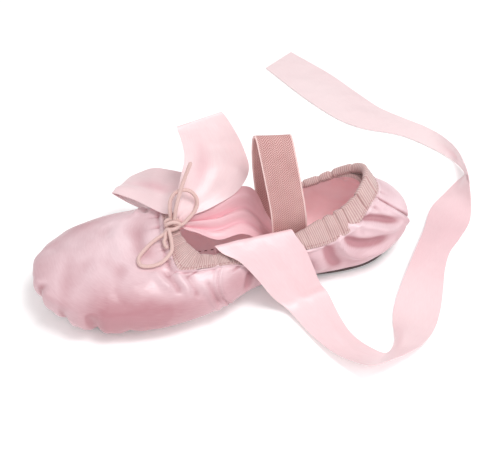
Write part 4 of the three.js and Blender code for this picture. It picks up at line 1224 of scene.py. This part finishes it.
class SLIPPER_OT_upper(bpy.types.Operator):
    """Adds the satin upper with its folds, seams, toe pleats and cotton lining."""

    bl_idname = "slipper.upper"
    bl_label = "Upper"

    def execute(self, context):
        sizes, colours = chosen(context)
        last = Last(sizes)
        angle = upper_angles(560)
        line = last.meridians(angle)
        outer = np.linspace(0, 1, SATIN_POINTS)[None] * line[1][:, -1:]
        inner = np.linspace(1, 0, LINING_POINTS)[None] * line[1][:, -1:]
        points, normals = last.skin(angle, outer)
        height = fold_height(last, points, normals, angle, outer, line, sizes.fold_height,
                             sizes.binding_outside / MM)
        shell = points + normals * height[..., None]
        points_in, normals_in = last.skin(angle, inner)
        # The lining follows the folds a little less than the satin does.
        follow = np.stack([np.interp(i, o, h) for i, o, h in zip(inner, outer, height)])
        lining = points_in + normals_in * (follow * 0.8 - sizes.wall / MM)[..., None]
        around = arc_length(closed(np.stack(last.outline(angle), -1)))
        down = closed(np.concatenate([outer[0], inner[0]]))
        uv = np.stack(np.broadcast_arrays(around[:, None], down[None]), -1) * MM
        cells = np.concatenate([np.zeros(SATIN_POINTS - 1, int), np.ones(LINING_POINTS + 1, int)])
        face = satin("polyester satin upper", colours.satin_light[:], colours.satin_blotch_and_shade[:],
                     roughness=0.34, blotch=0.022, mottle=0.65)
        inside = cotton("cotton lining", colours.lining[:], colours.lining_deep[:], grain=0.0012)
        grid = np.concatenate([shell, lining], 1)
        piece = solid("satin_upper", grid, uv, True, [face, inside], cells)
        # Painted shade: the satin is darkened in its troughs, on its lower side and at the waist.
        depth = satin_painted_shade(last, points, height, outer - widest_line(line))
        add_painted_shade(piece, np.hstack([depth, np.zeros_like(inner)]))
        place_piece(piece, "satin", "upper")
        return {"FINISHED"}


class SLIPPER_OT_binding(bpy.types.Operator):
    """Adds the gathered collar tape with its puckers and its row of stitches."""

    bl_idname = "slipper.binding"
    bl_label = "Collar binding"

    def execute(self, context):
        sizes, colours = chosen(context)
        last = Last(sizes)
        angle = round_angles(960)
        run, total = collar_run(last, angle)
        distance, offset, bend = binding_profile(
            run, total, angle, tape_reach(angle, sizes.binding_outside / MM),
            sizes.binding_inside / MM, sizes.wall / MM)
        # Puckers press the face and the rim in, more where the tape stands off the shoe.
        shift = rim_shift(last, angle, np.maximum(distance, 0), run, total)
        place = run[:, None] + shift
        dent = gather_height(place, total)
        for turn, depth, width in TAPE_PUCKERS:
            dent -= depth * bell(place - np.interp(turn, angle, run), width)
        face = slice(0, FACE_POINTS)
        rim = slice(face.stop, face.stop + RIM_POINTS)
        inner = slice(rim.stop, rim.stop + INNER_POINTS)
        offset[:, face] += dent[:, face] * (offset[:, face] - PUCKER_FLOOR)
        offset[:, rim] += dent[:, rim] * PUCKER_RIM * np.cos(bend)
        distance[:, rim] -= dent[:, rim] * PUCKER_TOP * np.sin(bend)
        offset[:, inner] -= dent[:, inner] * PUCKER_INNER
        points, normals = last.skin(angle, distance)
        grid = points + normals * offset[..., None]
        # At the heel the padded rim stands up and leans back a little.
        lip = (sizes.heel_puff / MM * np.maximum(0, np.cos(angle)) ** LIP_POWER)[:, None]
        rise = np.concatenate([np.linspace(0, 1, FACE_POINTS) ** LIP_GROWTH, np.ones(RIM_POINTS),
                               1 - LIP_FALL * np.linspace(0, 1, INNER_POINTS), [0.35, 0.15, 0, 0, 0, 0]])
        grid[..., 2] += lip * rise
        grid[..., 0] -= lip * rise * LIP_LEAN
        along = rib_places(run, total, shift, np.interp(THROAT_CORNER, angle, run))
        across = np.concatenate([arc_length(grid[0]), [0.0]])
        uv = np.stack([along, np.broadcast_to(across, along.shape)], -1) * MM
        tape = ribbed_tape("ribbed cotton tape", colours.tape[:], colours.tape_groove_shade_and_wear[:])
        piece = solid("gathered_binding", grid, uv, True, [tape])
        place_piece(piece, "binding_tape", "collar_binding")
        up = closed(normals[:, TAPE_SEAM])
        cotton_thread = thread("pink sewing thread", colours.binding_thread[:])
        row = stitches("binding_stitches", closed(grid[:, TAPE_SEAM]) + up * 0.06, up,
                       pitch=2.1, size=(1.15, 0.45, 0.3), material=cotton_thread)
        place_piece(row, "binding_tape")
        return {"FINISHED"}


class SLIPPER_OT_soles(bpy.types.Operator):
    """Adds the suede outsole and the lined insole with its row of stitches."""

    bl_idname = "slipper.soles"
    bl_label = "Outsole and insole"

    def execute(self, context):
        sizes, colours = chosen(context)
        last = Last(sizes)
        # The outsole's profile: out along its underside, up its edge and back over its top.
        under = GAP + sizes.sole_thickness / MM
        out = np.append(np.linspace(0, 0.95, 14), [0.975, 0.992])
        low = np.stack([out, np.full_like(out, under)], -1)
        low[-1, 1] -= 0.2
        edge = np.array([[1.0, under - 0.6], [1.0, GAP + 0.4], [0.99, GAP]])
        top = np.stack([np.linspace(0.95, 0, 14), np.full(14, GAP)], -1)
        hide = suede("split suede", colours.suede[:], colours.suede_deep[:])
        piece, _ = plate(last, "suede_outsole", 0.0, np.vstack([low, edge, top]), True, [hide])
        place_piece(piece, "suede", "outsole")
        # The insole's: it fills the opening in the middle and lies on the wall further out.
        below = -(sizes.wall / MM + GAP)
        above = below - sizes.insole_thickness / MM
        low = np.array([
            [0, -GAP], [0.2, -GAP], [0.4, -GAP], [0.55, -GAP], [0.66, -GAP], [0.68, below],
            [0.8, below], [0.9, below], [0.99, below], [1.0, below - 0.25], [1.0, above + 0.3]])
        top = np.stack([np.linspace(0.985, 0, 16), np.full(16, above)], -1)
        cloth = cotton("cotton insole", colours.lining[:], colours.insole_deep[:], grain=0.0010)
        piece, grid = plate(last, "lined_insole", 1.0, np.vstack([low, top]), False, [cloth])
        place_piece(piece, "lining", "insole")
        line = closed(grid[:, INSOLE_SEAM])
        up = np.tile([0.0, 0.0, 1.0], (len(line), 1))
        row = stitches("insole_stitches", line + up * 0.12, up, pitch=3.4, size=(1.5, 0.55, 0.4),
                       material=thread("insole sewing thread", colours.insole_thread[:]))
        place_piece(row, "lining")
        return {"FINISHED"}


class SLIPPER_OT_strap(bpy.types.Operator):
    """Adds the elastic strap that stands in an arch over the heel opening."""

    bl_idname = "slipper.strap"
    bl_label = "Elastic strap"

    def execute(self, context):
        sizes, colours = chosen(context)
        centre = STRAP_ROWS[:, :3] * sizes.shoe_length / MM
        turn = np.radians(STRAP_ROWS[:, 3])
        half = np.stack([np.cos(turn), -np.sin(turn), np.zeros_like(turn)], -1) * sizes.strap_width / MM / 2
        grid, uv, length, _ = strip_grid(centre + half, centre - half, sizes.strap_thickness / MM, 14, 21,
                                         STRAP_RIPPLES)
        weave = herringbone("woven herringbone elastic", colours.elastic[:], colours.elastic_sunk_shade_and_blotch[:],
                            colours.elastic_edge[:], sizes.strap_width / 2)
        piece = solid("elastic_arch", grid, uv, False, [weave])
        place_piece(piece, "elastic", "elastic_strap")
        return {"FINISHED"}


class SLIPPER_OT_ribbons(bpy.types.Operator):
    """Adds the two satin ribbon ties."""

    bl_idname = "slipper.ribbons"
    bl_label = "Ribbon ties"

    def execute(self, context):
        sizes, colours = chosen(context)
        face = satin("polyester satin ribbon", colours.ribbon_light[:], colours.ribbon_blotch_and_shade[:],
                     roughness=0.38, blotch=0.05, mottle=0.4)
        parts = (
            ("ribbon_tie_near", RIBBON_NEAR_ROWS, NEAR_RIPPLES, "ribbon_near", "draped", near_painted_shade),
            ("ribbon_tie_far", RIBBON_FAR_ROWS, FAR_RIPPLES, "ribbon_far", "gathered", far_painted_shade),
        )
        for name, rows, ripples, node, held, shade in parts:
            ends = rows * sizes.shoe_length / MM
            grid, uv, length, depth = strip_grid(ends[:, :3], ends[:, 3:], sizes.ribbon_thickness / MM,
                                                 12, 29, ripples)
            piece = solid(name, grid, uv, False, [face])
            # Painted shade: the ribbon darkens in its troughs and along the rows that its shade function
            # gives.
            add_painted_shade(piece, depth + shade(np.linspace(0, len(rows) - 1, len(grid))[:, None]))
            place_piece(piece, "ribbon", node)
        return {"FINISHED"}


class SLIPPER_OT_stage(bpy.types.Operator):
    """Adds the plain pale floor, the soft lights and the even surround."""

    bl_idname = "slipper.stage"
    bl_label = "Stage"

    def execute(self, context):
        far = FLOOR_REACH
        mesh = bpy.data.meshes.new("pale_floor")
        mesh.from_pydata([(-far, -far, 0), (far, -far, 0), (far, far, 0), (-far, far, 0)], [], [(0, 1, 2, 3)])
        material, add = start_material("matt white paper")
        finish_material(add, {
            "Base Color": context.scene.slipper_colours.floor[:], "Roughness": 0.9,
            "Specular IOR Level": 0.1, "Emission Color": WHITE, "Emission Strength": FLOOR_GLOW})
        mesh.materials.append(material)
        add_object("pale_floor", mesh)
        for name, place, size, power in LIGHTS:
            lamp = bpy.data.lights.new(name, "AREA")
            lamp.shape = "SQUARE"
            lamp.size = size
            lamp.energy = power
            light = add_object(name, lamp)
            light.location = place
            light.rotation_euler = (Vector(LIGHT_AIM) - light.location).to_track_quat("-Z", "Y").to_euler()
        world = bpy.data.worlds.new("surround")
        world.use_nodes = True
        tree = world.node_tree
        tree.nodes.clear()
        glow = add_node(tree, "Background", {"Color": WHITE, "Strength": SURROUND_GLOW})
        add_node(tree, "OutputWorld", {"Surface": glow})
        context.scene.world = world
        context.scene.view_settings.view_transform = "Standard"
        return {"FINISHED"}


STEPS = (SLIPPER_OT_camera, SLIPPER_OT_drawstring, SLIPPER_OT_upper, SLIPPER_OT_binding,
         SLIPPER_OT_soles, SLIPPER_OT_strap, SLIPPER_OT_ribbons, SLIPPER_OT_stage)


class SLIPPER_PT_panel(bpy.types.Panel):
    """Lists the slipper's pieces, sizes and colours."""

    bl_idname = "SLIPPER_PT_panel"
    bl_label = "Ballet slipper"
    bl_space_type = "VIEW_3D"
    bl_region_type = "UI"
    bl_category = "Slipper"

    def draw(self, context):
        layout = self.layout
        for group in (context.scene.slipper_sizes, context.scene.slipper_colours):
            for name in group.__annotations__:
                layout.prop(group, name)
        for step in STEPS:
            layout.operator(step.bl_idname)


CLASSES = (SlipperSizes, SlipperColours) + STEPS + (SLIPPER_PT_panel,)


def register():
    for item in CLASSES:
        bpy.utils.register_class(item)
    bpy.types.Scene.slipper_sizes = PointerProperty(type=SlipperSizes)
    bpy.types.Scene.slipper_colours = PointerProperty(type=SlipperColours)


def unregister():
    del bpy.types.Scene.slipper_colours
    del bpy.types.Scene.slipper_sizes
    for item in reversed(CLASSES):
        bpy.utils.unregister_class(item)


def main():
    register()
    bpy.ops.slipper.camera()
    bpy.ops.slipper.drawstring()
    bpy.ops.slipper.upper()
    bpy.ops.slipper.binding()
    bpy.ops.slipper.soles()
    bpy.ops.slipper.strap()
    bpy.ops.slipper.ribbons()
    bpy.ops.slipper.stage()


if __name__ == "__main__":
    main()
